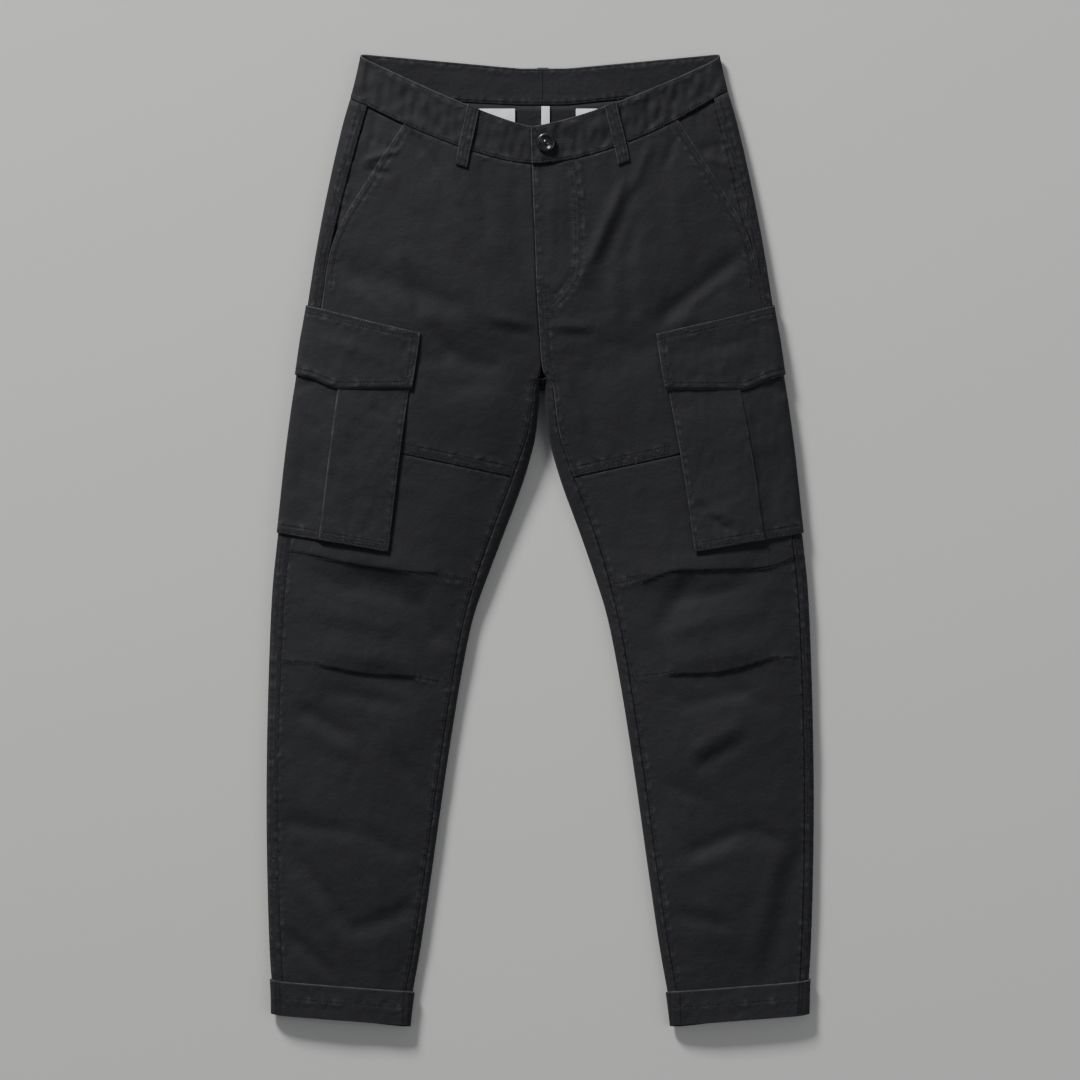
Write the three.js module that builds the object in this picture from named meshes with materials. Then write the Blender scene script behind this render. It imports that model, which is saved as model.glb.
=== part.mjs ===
// Cargo trousers in cotton twill, laid flat on a table with the front up.
// Millimetres. +X is to the viewer's right, +Y runs to the waist and +Z is up.
// The origin is on the table, under the middle of the trousers.
// side is -1 for the wearer's right leg and +1 for the wearer's left leg.
import * as THREE from "three";

// Driving sizes
const CLOTH = 1.6; // wall of one panel
const GAP = 0.3; // between two pieces at a seam
const HEM_WALL = 2.2; // turned-up hem, two layers
const BAG_WALL = 1.2; // thin lining cloth
const POCKET_WALL = 3; // bellows pocket pressed flat
const POCKET_TOP_WALL = 1.2; // its opening, under the flap
const FLAP_WALL = 1.7; // cargo flap, two layers
const BAND_WALL = 2; // waistband, two layers
const LOOP_WIDTH = 11.5;
const LOOP_WALL = 1.6;
const BUTTON_RADIUS = 9.5;
const BUTTON_HEIGHT = 3.6;
const WAIST_LIFT = LOOP_WALL + GAP; // the seat lies on its back belt loops
const HEM_LIFT = HEM_WALL + GAP; // the hem lies on its turn-up
const POCKET_LIFT = POCKET_TOP_WALL + FLAP_WALL + 2 * GAP; // the thigh lies on its pocket
const SEAM_SKEW = 1.5; // both legs are turned a little to the viewer's right

// Places down the garment
const THIGH_SEAM_Y = 62.5;
const CROTCH = { x: 2, y: 164, z: 27 };
const WAIST_SEAM_Y = 375;
const BAND_TOP_Y = 412.5;
const BACK_SEAM_Y = 435;
const BACK_TOP_Y = 472;

// A short table with named columns, read by the value in its first column.
function table(columns, rows) {
  const sorted = [...rows].sort((a, b) => a[0] - b[0]);
  const slope = (i, c) => {
    const a = sorted[Math.max(i - 1, 0)];
    const b = sorted[Math.min(i + 1, sorted.length - 1)];
    return (b[c] - a[c]) / (b[0] - a[0]);
  };
  return (name, at) => {
    const c = columns.indexOf(name);
    const last = sorted.length - 1;
    if (at <= sorted[0][0]) return sorted[0][c];
    if (at >= sorted[last][0]) return sorted[last][c];
    const i = sorted.findIndex((row) => row[0] > at) - 1;
    const span = sorted[i + 1][0] - sorted[i][0];
    const t = (at - sorted[i][0]) / span;
    const t2 = t * t;
    const t3 = t2 * t;
    return (
      (2 * t3 - 3 * t2 + 1) * sorted[i][c] +
      (t3 - 2 * t2 + t) * span * slope(i, c) +
      (3 * t2 - 2 * t3) * sorted[i + 1][c] +
      (t3 - t2) * span * slope(i + 1, c)
    );
  };
}

// Outer side of each half: distance of the edge from the middle, how far the
// outseam lies in from that edge, and how high the seam lies.
const outer = table(
  ["y", "edge", "strip", "height"],
  [
    [485, 178.5, 14.5, 14],
    [443, 188, 16, 15],
    [415, 196.5, 17, 15.5],
    [370, 207, 15, 16],
    [325, 216.8, 13, 16],
    [280, 225.5, 12, 16],
    [235, 232.8, 13, 16],
    [190, 239.5, 13.5, 16],
    [140, 246.5, 13, 16],
    [85, 254, 13, 15.5],
    [10, 262, 12.5, 15],
    [-20, 265.5, 12, 14.5],
    [-65, 269.5, 11.5, 14],
    [-200, 274, 11, 13.5],
    [-260, 274.6, 11, 13],
    [-320, 274.2, 11, 13],
    [-380, 272.6, 11, 12.5],
    [-425, 270.8, 11, 12],
    [-450, 268.5, 10, 11.5],
    [-485, 268, 10, 11.5],
  ],
);

// Inner side of each leg below the crotch, measured from the fork's middle.
const inner = table(
  ["y", "edge", "strip", "height"],
  [
    [158, 0.6, 8.4, 26.5],
    [146, 1, 9.4, 26],
    [130, 3, 8.8, 25],
    [110, 5, 9.5, 23],
    [95, 8, 11, 21],
    [64, 16.5, 13.5, 18],
    [40, 25, 14, 16.5],
    [10, 36.5, 14, 15.5],
    [-20, 47.5, 13.5, 15],
    [-65, 63.5, 10.5, 14],
    [-95, 71, 10, 14],
    [-155, 82, 9.2, 13.5],
    [-245, 96, 8.6, 13],
    [-335, 108.5, 8.4, 13],
    [-425, 122, 8.4, 12],
    [-450, 127, 8.5, 11.5],
    [-485, 131.5, 8.5, 11.5],
  ],
);

// Middle of the front above the crotch, and the swell between the two seams.
const middle = table(
  ["y", "x", "height"],
  [
    [412.5, -9, 33],
    [375, -8, 32],
    [337, -7, 33],
    [296, -5, 33],
    [258, -4, 32.5],
    [210, -1, 31],
    [164, CROTCH.x, CROTCH.z],
  ],
);
const swell = table(
  ["y", "rise"],
  [
    [412.5, 2],
    [300, 3],
    [200, 4],
    [130, 6],
    [60, 9],
    [-40, 9],
    [-140, 8],
    [-300, 7.5],
    [-420, 5],
    [-455, 2],
    [-485, 2],
  ],
);

// Where a row that ends at "inner" on the inside meets the outseam.
const rowEnds = table(
  ["inner", "outer"],
  [
    [412.5, 476],
    [375, 434],
    [310, 363],
    [244, 292],
    [164, 207],
    [110, 151],
    [62.5, 107],
    [4, 43],
    [-40, -9],
    [-98, -71],
    [-138, -117],
    [-262, -248],
    [-382, -371],
    [-451, -441.5],
    [-485, -476],
  ],
);

// The largest folds of the front. Ridges stand up and troughs sink.
const FOLDS = [
  // x1, y1, x2, y2, half width, height
  [-185, 262, -12, 204, 26, 3.2],
  [-15, 196, -118, 180, 17, -3.4],
  [-66, 372, -16, 290, 14, -1.8],
  [-120, 160, -30, 118, 30, 1.8],
  [82, 338, 30, 240, 7, 2.4],
  [104, 330, 96, 222, 17, 2.8],
  [64, 312, 60, 212, 14, -2.6],
  [12, 208, 66, 203, 9, 2],
  [30, 186, 100, 176, 16, -2.6],
  [118, 214, 200, 272, 9, -2.2],
  [150, 222, 206, 240, 10, 1.8],
  [-232, -12, -98, -34, 9, 3.6],
  [-232, -30, -96, -52, 12, -2.6],
  [-226, -112, -120, -126, 15, 3.6],
  [-222, -133, -124, -146, 9, -3.2],
  [226, -12, 96, -36, 9, 3.6],
  [228, -30, 96, -56, 12, -2.6],
  [232, -108, 128, -124, 15, 3.6],
  [228, -130, 128, -146, 9, -3.2],
  [-150, -70, -92, -160, 20, -2],
  [-240, -150, -120, -250, 22, -2],
  [-250, -268, -186, -396, 18, -2.6],
  [-226, -250, -150, -400, 26, 2.2],
  [-184, -268, -112, -306, 15, -2.2],
  [-196, -402, -130, -380, 14, -1.8],
  [136, -232, 246, -150, 24, 2.4],
  [142, -300, 238, -282, 13, -2.8],
  [150, -258, 240, -214, 16, -1.8],
  [246, -300, 204, -424, 16, -2],
  [160, -372, 236, -330, 20, 2],
];

const UP = new THREE.Vector3(0, 0, 1);
const DOWN = new THREE.Vector3(0, 0, -1);
const SEAM_AXIS = new THREE.Vector3(0, -1, 0); // across a seam, from the waist to the hem
const clamp = (v, low, high) => Math.min(Math.max(v, low), high);
const mix = (a, b, t) => a + (b - a) * t;
const ease = (from, to, v) => {
  const t = clamp((v - from) / (to - from), 0, 1);
  return t * t * (3 - 2 * t);
};

function foldHeight(x, y) {
  let sum = 0;
  for (const [x1, y1, x2, y2, halfWidth, height] of FOLDS) {
    const dx = x2 - x1;
    const dy = y2 - y1;
    const t = ((x - x1) * dx + (y - y1) * dy) / (dx * dx + dy * dy);
    const along = clamp(t, 0, 1);
    const away = Math.hypot(x - x1 - along * dx, y - y1 - along * dy);
    const ends = ease(-0.12, 0.2, t) * (1 - ease(0.8, 1.12, t));
    sum += height * ends * Math.exp(-((away / halfWidth) ** 2));
  }
  return sum;
}

// How high the underside lies over the table: on the belt loops, on the hem
// and, within reach of the outseam, on the wrapped part of the cargo pocket.
const POCKET_REACH = 44; // of the pocket along the table, past the side roll
function underLift(y, inFromFoot = 999) {
  const acrossReach = ease(POCKET_REACH + 18, POCKET_REACH + 4, inFromFoot);
  const pocket = ease(-52, -26, y) * ease(285, 258, y) * acrossReach;
  return WAIST_LIFT * ease(318, 348, y) + HEM_LIFT * ease(-410, -434, y) + POCKET_LIFT * pocket;
}

// Bow of a row, as a power: a straight line down the legs, hollow at the waist
// seam and nearly straight again at the waistband's top. The halves differ.
const bow = table(
  ["y", "right", "left"],
  [
    [100, 1, 1],
    [200, 1.36, 1.36],
    [290, 1.58, 1.64],
    [WAIST_SEAM_Y, 1.5, 1.75],
    [BAND_TOP_Y, 1.2, 1.33],
  ],
);

// Where a row meets the outseam. The wearer's left end of the waist seam is
// pulled up.
const LEFT_RISE = 7.5;
function rowOuter(side, yInner) {
  const pulled = side > 0 ? LEFT_RISE * ease(318, 368, yInner) * ease(412, 380, yInner) : 0;
  return rowEnds("outer", yInner) + pulled;
}

// The roll at the side climbs by this much, most at the waist.
const rollRise = (y) => 2.5 + 6.5 * ease(190, 380, y);

function outerEnd(side, y) {
  const x = side * (outer("edge", y) - outer("strip", y)) + SEAM_SKEW;
  return new THREE.Vector3(x, y, outer("height", y));
}

function innerEnd(side, y) {
  if (y >= CROTCH.y) return new THREE.Vector3(middle("x", y), y, middle("height", y));
  const join = ease(CROTCH.y, 158, y);
  const reach = inner("edge", y) + inner("strip", y);
  const fork = CROTCH.x * ease(-100, 20, y);
  const x = fork + side * reach + SEAM_SKEW;
  return new THREE.Vector3(mix(CROTCH.x, x, join), y, inner("height", y));
}

// A point on the top surface: across is 0 at the outseam and 1 at the middle
// or the inseam.
function topPoint(side, yInner, yOuter, across) {
  const from = outerEnd(side, yOuter);
  const to = innerEnd(side, yInner);
  const width = Math.abs(to.x - from.x);
  const x = mix(from.x, to.x, across);
  const y = yInner + (yOuter - yInner) * (1 - across) ** bow(side > 0 ? "left" : "right", yInner);
  const torso = ease(60, 200, yInner);
  const climb = mix(across, Math.sin((across * Math.PI) / 2), torso);
  const round = 1 - Math.abs(2 * across - 1) ** 2.5;
  const near = Math.min(across, 1 - across) * width;
  const z =
    mix(from.z, to.z, climb) + swell("rise", yInner) * round + foldHeight(x, y) * ease(1, 14, near);
  return new THREE.Vector3(x, y, z);
}

// The side roll from the outseam (t = 0) round to the table (t = 1).
function rollPoint(side, yOuter, t) {
  const start = outerEnd(side, yOuter);
  const bulge = (4 / 3) * (outer("strip", yOuter) + side * SEAM_SKEW * -1);
  const floor = underLift(yOuter + rollRise(yOuter), 0);
  const x = start.x + side * bulge * 3 * t * (1 - t);
  const z = mix(start.z, floor, t * t * (3 - 2 * t));
  const y = yOuter + rollRise(yOuter) * t * (3 - 2 * t);
  return new THREE.Vector3(x, y, z);
}

// Rows by columns of outer points, and the same of inner points, closed all
// round into one solid. ring joins the last column to the first.
function wallGeometry(outside, inside, ring = false) {
  const rows = outside.length;
  const columns = outside[0].length;
  const points = [...outside.flat(), ...inside.flat()];
  const back = rows * columns;
  const at = (layer, i, j) => layer * back + i * columns + (j % columns);
  const faces = [];
  const quad = (a, b, c, d) => faces.push(a, b, c, a, c, d);
  const spans = ring ? columns : columns - 1;
  for (let i = 0; i < rows - 1; i++) {
    for (let j = 0; j < spans; j++) {
      quad(at(0, i, j), at(0, i, j + 1), at(0, i + 1, j + 1), at(0, i + 1, j));
      quad(at(1, i, j), at(1, i + 1, j), at(1, i + 1, j + 1), at(1, i, j + 1));
    }
    if (!ring) {
      quad(at(0, i, 0), at(0, i + 1, 0), at(1, i + 1, 0), at(1, i, 0));
      const e = columns - 1;
      quad(at(0, i, e), at(1, i, e), at(1, i + 1, e), at(0, i + 1, e));
    }
  }
  for (let j = 0; j < spans; j++) {
    const e = rows - 1;
    quad(at(0, 0, j), at(1, 0, j), at(1, 0, j + 1), at(0, 0, j + 1));
    quad(at(0, e, j), at(0, e, j + 1), at(1, e, j + 1), at(1, e, j));
  }
  const geometry = new THREE.BufferGeometry();
  const positions = new Float32Array(points.flatMap((p) => [p.x, p.y, p.z]));
  geometry.setAttribute("position", new THREE.BufferAttribute(positions, 3));
  geometry.setIndex(faces);
  if (signedVolume(geometry) < 0) {
    for (let i = 0; i < faces.length; i += 3) [faces[i + 1], faces[i + 2]] = [faces[i + 2], faces[i + 1]];
    geometry.setIndex(faces);
  }
  return geometry;
}

function signedVolume(geometry) {
  const position = geometry.getAttribute("position");
  const index = geometry.getIndex();
  const [a, b, c] = [new THREE.Vector3(), new THREE.Vector3(), new THREE.Vector3()];
  let sum = 0;
  for (let i = 0; i < index.count; i += 3) {
    a.fromBufferAttribute(position, index.getX(i));
    b.fromBufferAttribute(position, index.getX(i + 1));
    c.fromBufferAttribute(position, index.getX(i + 2));
    sum += a.dot(b.cross(c));
  }
  return sum;
}

// Outward normals of a grid of points. Where two pieces meet at a seam the
// normal is held in a plane that both of them share, so that neither wall
// leans into the other: fixed(i, j) returns a direction to clear, or a normal.
function gridNormals(grid, towards, fixed = () => null) {
  const rows = grid.length;
  const columns = grid[0].length;
  return grid.map((row, i) =>
    row.map((_, j) => {
      const along = grid[Math.min(i + 1, rows - 1)][j].clone().sub(grid[Math.max(i - 1, 0)][j]);
      const across = row[Math.min(j + 1, columns - 1)].clone().sub(row[Math.max(j - 1, 0)]);
      const normal = across.clone().cross(along).multiplyScalar(towards).normalize();
      const held = fixed(i, j);
      if (held === "row") return across.cross(SEAM_AXIS).multiplyScalar(towards).normalize();
      if (held === "up") return UP;
      if (held === "plane") return normal.setX(0).normalize();
      return normal;
    }),
  );
}

// Dyed cotton twill, its lining and the plastic of the button
const finish = (name, color, roughness) =>
  new THREE.MeshStandardMaterial({ name, color, roughness, metalness: 0 });
const twill = finish("twill", 0x24252a, 0.92);
const lining = finish("lining", 0xd9dadf, 0.9);
const plastic = finish("plastic", 0x1b1c20, 0.35);

const trousers = new THREE.Group();

function add(name, geometry, material) {
  const mesh = new THREE.Mesh(geometry, material);
  mesh.name = name;
  trousers.add(mesh);
  return mesh;
}

// The slant of the hip pocket cuts the front back from the outseam.
const SLANT = { topDistance: 36.5, bottomY: 254 };
const slantDistance = (yInner) =>
  SLANT.topDistance * clamp((yInner - SLANT.bottomY) / (WAIST_SEAM_Y - SLANT.bottomY), 0, 1.2);

// Rows of the front, named by the height of their inner end
const HIP_ROWS = [375, 354, 332, 310, 288, 266, 244, 224, 205, 187];
const UPPER_ROWS = [...HIP_ROWS, 164, 158, 146, 131, 110, 97, 86, THIGH_SEAM_Y];
const KNEE_ROWS = [44, 24, 4, -14, -28, -43, -58, -76, -98, -116, -130, -145, -160];
const SHIN_ROWS = [-180, -206, -234, -262, -292, -322, -352, -382, -412, -440, -451, -466, -483];
const LOWER_ROWS = [THIGH_SEAM_Y, ...KNEE_ROWS, ...SHIN_ROWS];
// Columns stand at these distances in from the outseam, then evenly to the
// inner end. The pocket's pleat, its inner edge and the flap's lie on columns.
const POCKET_WIDTH = 97;
const FLAP_WIDTH = 99.5;
const SIDE_COLUMNS = [0, 12, 23.5, 27, 44, 62, 80, POCKET_WIDTH, FLAP_WIDTH];
const PLEAT_COLUMN = 3;
const EVEN_COLUMNS = 6;
const FRONT_COLUMNS = SIDE_COLUMNS.length - 1 + EVEN_COLUMNS;

// Share of the way in for every column of a row of this width. The wearer's
// left pocket is a little wider at its top.
const LEFT_WIDER = 0.065;
function columnShares(side, yInner, width, slant) {
  const wider = side > 0 ? 1 + LEFT_WIDER * ease(-20, 175, yInner) : 1;
  const stops = SIDE_COLUMNS.map((stop) => stop * wider);
  const last = stops.at(-1);
  for (let k = 1; k <= EVEN_COLUMNS; k++) stops.push(mix(last, width, k / EVEN_COLUMNS));
  const from = Math.max(slant, GAP / 2) / width;
  const to = 1 - GAP / 2 / width;
  return stops.map((stop) => mix(from, to, stop / width));
}

function frontRow(side, yInner, trim = 0, slant = slantDistance(yInner)) {
  const y = yInner + trim;
  const yOuter = rowOuter(side, yInner) + trim;
  const width = Math.abs(innerEnd(side, y).x - outerEnd(side, yOuter).x);
  return columnShares(side, yInner, width, slant).map((share) => topPoint(side, y, yOuter, share));
}

// Front cloth between two rows. Its ends stop half a gap short of each seam.
function frontGrid(side, rows, trimmed = true) {
  const last = rows.length - 1;
  const trim = (i) => (trimmed ? (i === 0 ? -GAP / 2 : i === last ? GAP / 2 : 0) : 0);
  const points = rows.map((yInner, i) => frontRow(side, yInner, trim(i)));
  const held = (i, j) => {
    if (j === FRONT_COLUMNS || (j === 0 && slantDistance(rows[i]) < 1)) return "up";
    return i === 0 || i === last ? "row" : null;
  };
  return { rows, points, normals: gridNormals(points, side, held) };
}

// Back cloth: each row starts at the outseam, rolls round the side, runs along
// the table and ends at the middle of the seat or, rolled up, at the inseam.
// A row is named by the front row that it meets at the outseam.
const SEAT_ROWS = [
  // row, y at the middle of the seat
  [375, BACK_SEAM_Y],
  [354, 411],
  [332, 386],
  [310, 358],
  [288, 330],
  [266, 300],
  [244, 269],
  [224, 240],
  [205, 214],
  [187, 192],
];
// The fork, where the seat seam climbs from the table to the crotch.
const FORK_ROWS = [
  // row, y on the table, end y, end height, handle off the table, handle at the end
  [178, 174, 170, 0, 8, 8],
  [170, 165, 157, 1.5, 10, 7],
  [164, 159, 150, 7, 13, 5],
  [158, 153, 148.5, 14, 16, 4],
  [152, 148, 152, 21.5, 19, 3],
  [146, 144, CROTCH.y, CROTCH.z, 21, 2],
];
const LEG_ROWS = [
  // row at the outseam, y at the inseam
  [139, 158],
  [131, 146],
  [121, 131],
  [105, 110],
  [94, 97],
  [84, 86],
  [THIGH_SEAM_Y, THIGH_SEAM_Y],
  ...[44, 24, 4, -28, -58, -76, -98, -130, -160].map((y) => [y, y]),
  ...[-206, -262, -322, -382, -412, -440, -451, -466, -483].map((y) => [y, y]),
];
const ROLL_STEPS = 5;
const FLOOR_COLUMNS = [0, 22, POCKET_REACH + 2, POCKET_REACH + 17]; // in from the foot of the roll
const FLOOR_STEPS = 3; // the rest of the way to the inner foot
const SEAT_X = 3; // middle of the seat at the waist
const SEAT_STEP = 24; // cloth beside the seat seam that turns up at the fork

const seatX = (y) => mix(CROTCH.x, SEAT_X, ease(170, 330, y));

function backRow(side, yOuter, foot, end, handleOut, handleIn) {
  const points = [];
  for (let k = 0; k < ROLL_STEPS; k++) points.push(rollPoint(side, yOuter, k / ROLL_STEPS));
  const start = rollPoint(side, yOuter, 1);
  const reach = Math.abs(start.x - foot.x);
  const rest = reach - FLOOR_COLUMNS.at(-1);
  const stops = [...FLOOR_COLUMNS];
  for (let k = 1; k < FLOOR_STEPS; k++) stops.push(FLOOR_COLUMNS.at(-1) + (rest * k) / FLOOR_STEPS);
  for (const inFromFoot of stops) {
    const p = start.clone().lerp(foot, inFromFoot / reach);
    points.push(p.setZ(underLift(p.y, inFromFoot)));
  }
  const climb = new THREE.CubicBezierCurve3(
    foot,
    foot.clone().setX(foot.x - side * handleOut),
    end.clone().setX(end.x - side * handleIn),
    end,
  );
  return [...points, ...climb.getPoints(ROLL_STEPS)];
}

function seatRow(side, yOuter, ySeat) {
  const x = seatX(ySeat) + (side * GAP) / 2;
  const end = new THREE.Vector3(x, ySeat, underLift(ySeat));
  const foot = end.clone().setX(x + side * SEAT_STEP);
  return backRow(side, yOuter, foot, end, SEAT_STEP / 3, -SEAT_STEP / 3);
}

function forkRow(side, [row, yFoot, yEnd, zEnd, handleOut, handleIn]) {
  const x = seatX(yEnd) + (side * GAP) / 2;
  const foot = new THREE.Vector3(x + side * SEAT_STEP, yFoot, 0);
  const end = new THREE.Vector3(x, yEnd, zEnd);
  return backRow(side, rowOuter(side, row), foot, end, handleOut, -handleIn);
}

function legRow(side, [row, yInseam]) {
  const end = innerEnd(side, yInseam);
  end.x -= (side * GAP) / 2;
  const bulge = (4 / 3) * (inner("strip", yInseam) + side * SEAM_SKEW);
  const nearFork = ease(86, 158, yInseam);
  const yFoot = yInseam - 2 - 18 * nearFork;
  const foot = new THREE.Vector3(end.x + side * 15 * nearFork, yFoot, underLift(yFoot));
  return backRow(side, rowOuter(side, row), foot, end, bulge + 15 * nearFork, bulge);
}

function backGrid(side) {
  const points = [
    ...SEAT_ROWS.map(([row, ySeat]) => seatRow(side, rowOuter(side, row), ySeat)),
    ...FORK_ROWS.map((row) => forkRow(side, row)),
    ...LEG_ROWS.map((row) => legRow(side, row)),
  ];
  points.forEach((row) => (row[0].x += (side * GAP) / 2));
  points[0].forEach((p, j) => (p.y -= j > 0 && j < ROLL_STEPS ? 2 * GAP : GAP / 2));
  const last = points[0].length - 1;
  const seam = SEAT_ROWS.length + FORK_ROWS.length - 1;
  const held = (i, j) => {
    if (j === 0) return "up";
    if (j === last) return i < seam ? "plane" : "up";
    return i === 0 ? "row" : null;
  };
  return { points, normals: gridNormals(points, -side, held) };
}

// A closed wall from one outward offset of a grid to another. Each offset is
// a number or a function of the row and column.
function wall(grid, outer, inner, ring = false) {
  const layer = (offset) => {
    const by = typeof offset === "number" ? () => offset : offset;
    const moved = (p, i, j) => p.clone().addScaledVector(grid.normals[i][j], by(i, j));
    return grid.points.map((row, i) => row.map((p, j) => moved(p, i, j)));
  };
  return wallGeometry(layer(outer), layer(inner), ring);
}

// A piece that is sewn over the outseam: rows of the front, and for each row
// columns from the table, up the side roll and in along the front.
const TABLE_COLUMNS = [POCKET_REACH, 22, 0];
const OUTSEAM_COLUMN = TABLE_COLUMNS.length + ROLL_STEPS - 1;
const ROW_SLOPE = 0.17; // rows fall by this much for each millimetre in from the side

function wrapGrid(side, front, rows, width) {
  const columns = SIDE_COLUMNS.indexOf(width) + 1;
  const points = [];
  const normals = [];
  for (const yInner of rows) {
    const i = front.rows.indexOf(yInner);
    const yOuter = rowOuter(side, yInner);
    const start = rollPoint(side, yOuter, 1);
    const table = TABLE_COLUMNS.map((inFromFoot) => {
      const y = start.y - ROW_SLOPE * inFromFoot;
      return new THREE.Vector3(start.x - side * inFromFoot, y, POCKET_LIFT);
    });
    const roll = [];
    const rollNormals = [];
    for (let k = ROLL_STEPS - 1; k >= 1; k--) {
      const t = k / ROLL_STEPS;
      const step = 0.5 / ROLL_STEPS;
      const along = rollPoint(side, yOuter + 4, t).sub(rollPoint(side, yOuter - 4, t));
      const across = rollPoint(side, yOuter, t + step).sub(rollPoint(side, yOuter, t - step));
      roll.push(rollPoint(side, yOuter, t));
      rollNormals.push(across.cross(along).normalize().multiplyScalar(side));
    }
    points.push([...table, ...roll, ...front.points[i].slice(0, columns).map((p) => p.clone())]);
    normals.push([...table.map(() => DOWN), ...rollNormals, ...front.normals[i].slice(0, columns)]);
  }
  return { points, normals };
}

// Cargo pocket with its bellows fold, and the flap over its opening
const SIDE_WALL = 1.8; // the pocket beside its pleat, towards the outseam
const POCKET_ROWS = [146, 131, 110, 97, 86, THIGH_SEAM_Y, 44, 24, 4, -14, -28];
const FLAP_ROWS = [187, 164, 158, 146, 131, 110];
const FLAP_OFF = 2 * GAP + POCKET_TOP_WALL; // the flap's underside over the leg, on the pocket
const FLAP_UNDER = [GAP, 1.1, FLAP_OFF, FLAP_OFF, FLAP_OFF];
const ROWS_UNDER_FLAP = 3;
// The flap's lower edge hangs to a point at the pleat: share of the way from
// its last whole row to the next one.
const FLAP_POINT = { table: 0.35, outseam: 0.5, pleat: 0.78, inner: 0.02 };

function cargoPocket(side, front) {
  const grid = wrapGrid(side, front, POCKET_ROWS, POCKET_WIDTH);
  const pleat = OUTSEAM_COLUMN + PLEAT_COLUMN;
  const outside = (i, j) => {
    if (i < ROWS_UNDER_FLAP) return GAP + POCKET_TOP_WALL;
    return GAP + (j < pleat ? SIDE_WALL : POCKET_WALL);
  };
  return wall(grid, outside, GAP);
}

// How far the flap hangs at a column, counted from the outseam
function flapPoint(column) {
  const { table: low, outseam, pleat, inner: end } = FLAP_POINT;
  if (column <= 0) return mix(outseam, low, Math.min(-column / OUTSEAM_COLUMN, 1));
  const at = SIDE_COLUMNS[column];
  const pleatAt = SIDE_COLUMNS[PLEAT_COLUMN];
  if (at <= pleatAt) return mix(outseam, pleat, at / pleatAt);
  return mix(pleat, end, (at - pleatAt) / (FLAP_WIDTH - pleatAt));
}

function cargoFlap(side, front) {
  const grid = wrapGrid(side, front, FLAP_ROWS, FLAP_WIDTH);
  const below = grid.points.pop();
  grid.normals.pop();
  const last = grid.points.length - 1;
  grid.points[last].forEach((p, j) => p.lerp(below[j], flapPoint(j - OUTSEAM_COLUMN)));
  return wall(grid, (i) => FLAP_UNDER[i] + FLAP_WALL, (i) => FLAP_UNDER[i]);
}

// Turned-up hem: a ring round the foot of the leg
const HEM_ROWS = [-451, -466, -483];
function hem(side, front, back) {
  const points = [];
  const normals = [];
  for (const yInner of HEM_ROWS) {
    const i = front.rows.indexOf(yInner);
    const k = back.points.length - HEM_ROWS.length + HEM_ROWS.indexOf(yInner);
    const inside = back.points[k].slice(1, -1).reverse();
    points.push([...front.points[i], ...inside]);
    normals.push([...front.normals[i], ...back.normals[k].slice(1, -1).reverse()]);
  }
  points.push(points.at(-1).map((p) => p.clone().setY(p.y - 2)));
  normals.push(normals.at(-1));
  return wall({ points, normals }, GAP + HEM_WALL, GAP, true);
}

// Waistband half: from the middle of the back, along the table, round the side
// and along the front. The wearer's left half laps over the right one.
const BAND_ROWS = [
  // front row, y at the middle of the back
  [BAND_TOP_Y, BACK_TOP_Y],
  [400, 459.5],
  [387.5, 447],
  [WAIST_SEAM_Y, BACK_SEAM_Y],
];
const BAND_SIDE_COLUMNS = [0, 12, 24]; // over the hip pocket's mouth
// columns of the band before its front
const BAND_BACK_COLUMNS = 2 * ROLL_STEPS + FLOOR_COLUMNS.length + FLOOR_STEPS - 1;
const LAP = BAND_WALL + GAP;

function bandGrid(side) {
  const last = BAND_ROWS.length - 1;
  const points = BAND_ROWS.map(([yInner, yBack], i) => {
    const trim = i === last ? GAP / 2 : 0;
    const yOuter = rowOuter(side, yInner) + trim;
    const back = seatRow(side, yOuter, yBack + trim).slice(1).reverse();
    const width = Math.abs(innerEnd(side, yInner).x - outerEnd(side, yOuter).x);
    const sideColumns = BAND_SIDE_COLUMNS.map((d) => topPoint(side, yInner + trim, yOuter, d / width));
    return [...back, ...sideColumns, ...frontRow(side, yInner, trim, SLANT.topDistance)];
  });
  return { points, normals: gridNormals(points, side, (i) => (i === last ? "row" : null)) };
}

function waistbands() {
  const right = bandGrid(-1);
  const left = bandGrid(1);
  const end = left.points[0].length - 1;
  // The right half runs on under the left one, at the level of the front.
  right.points.forEach((row, i) => {
    const [second, first] = left.points[i].slice(end - 2, end);
    row.push(first.clone(), first.clone().lerp(second, 0.6));
    right.normals[i].push(left.normals[i][end - 1], left.normals[i][end - 1]);
  });
  const lap = (j) => (j >= end - 2 ? LAP : 0);
  add("waistband_right", wall(right, 0, -BAND_WALL), twill);
  add("waistband_left", wall(left, (i, j) => lap(j), (i, j) => lap(j) - BAND_WALL), twill);
  return { right, left };
}

// Cloth behind the slanted mouth of the hip pocket
const FACING_ROWS = [375, 354, 332, 310, 288, 266, 244];
const FACING_TRIM = 0.05; // share of the first row's height that it stops short of the waistband
const MOUTH_MIN = 4;

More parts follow.
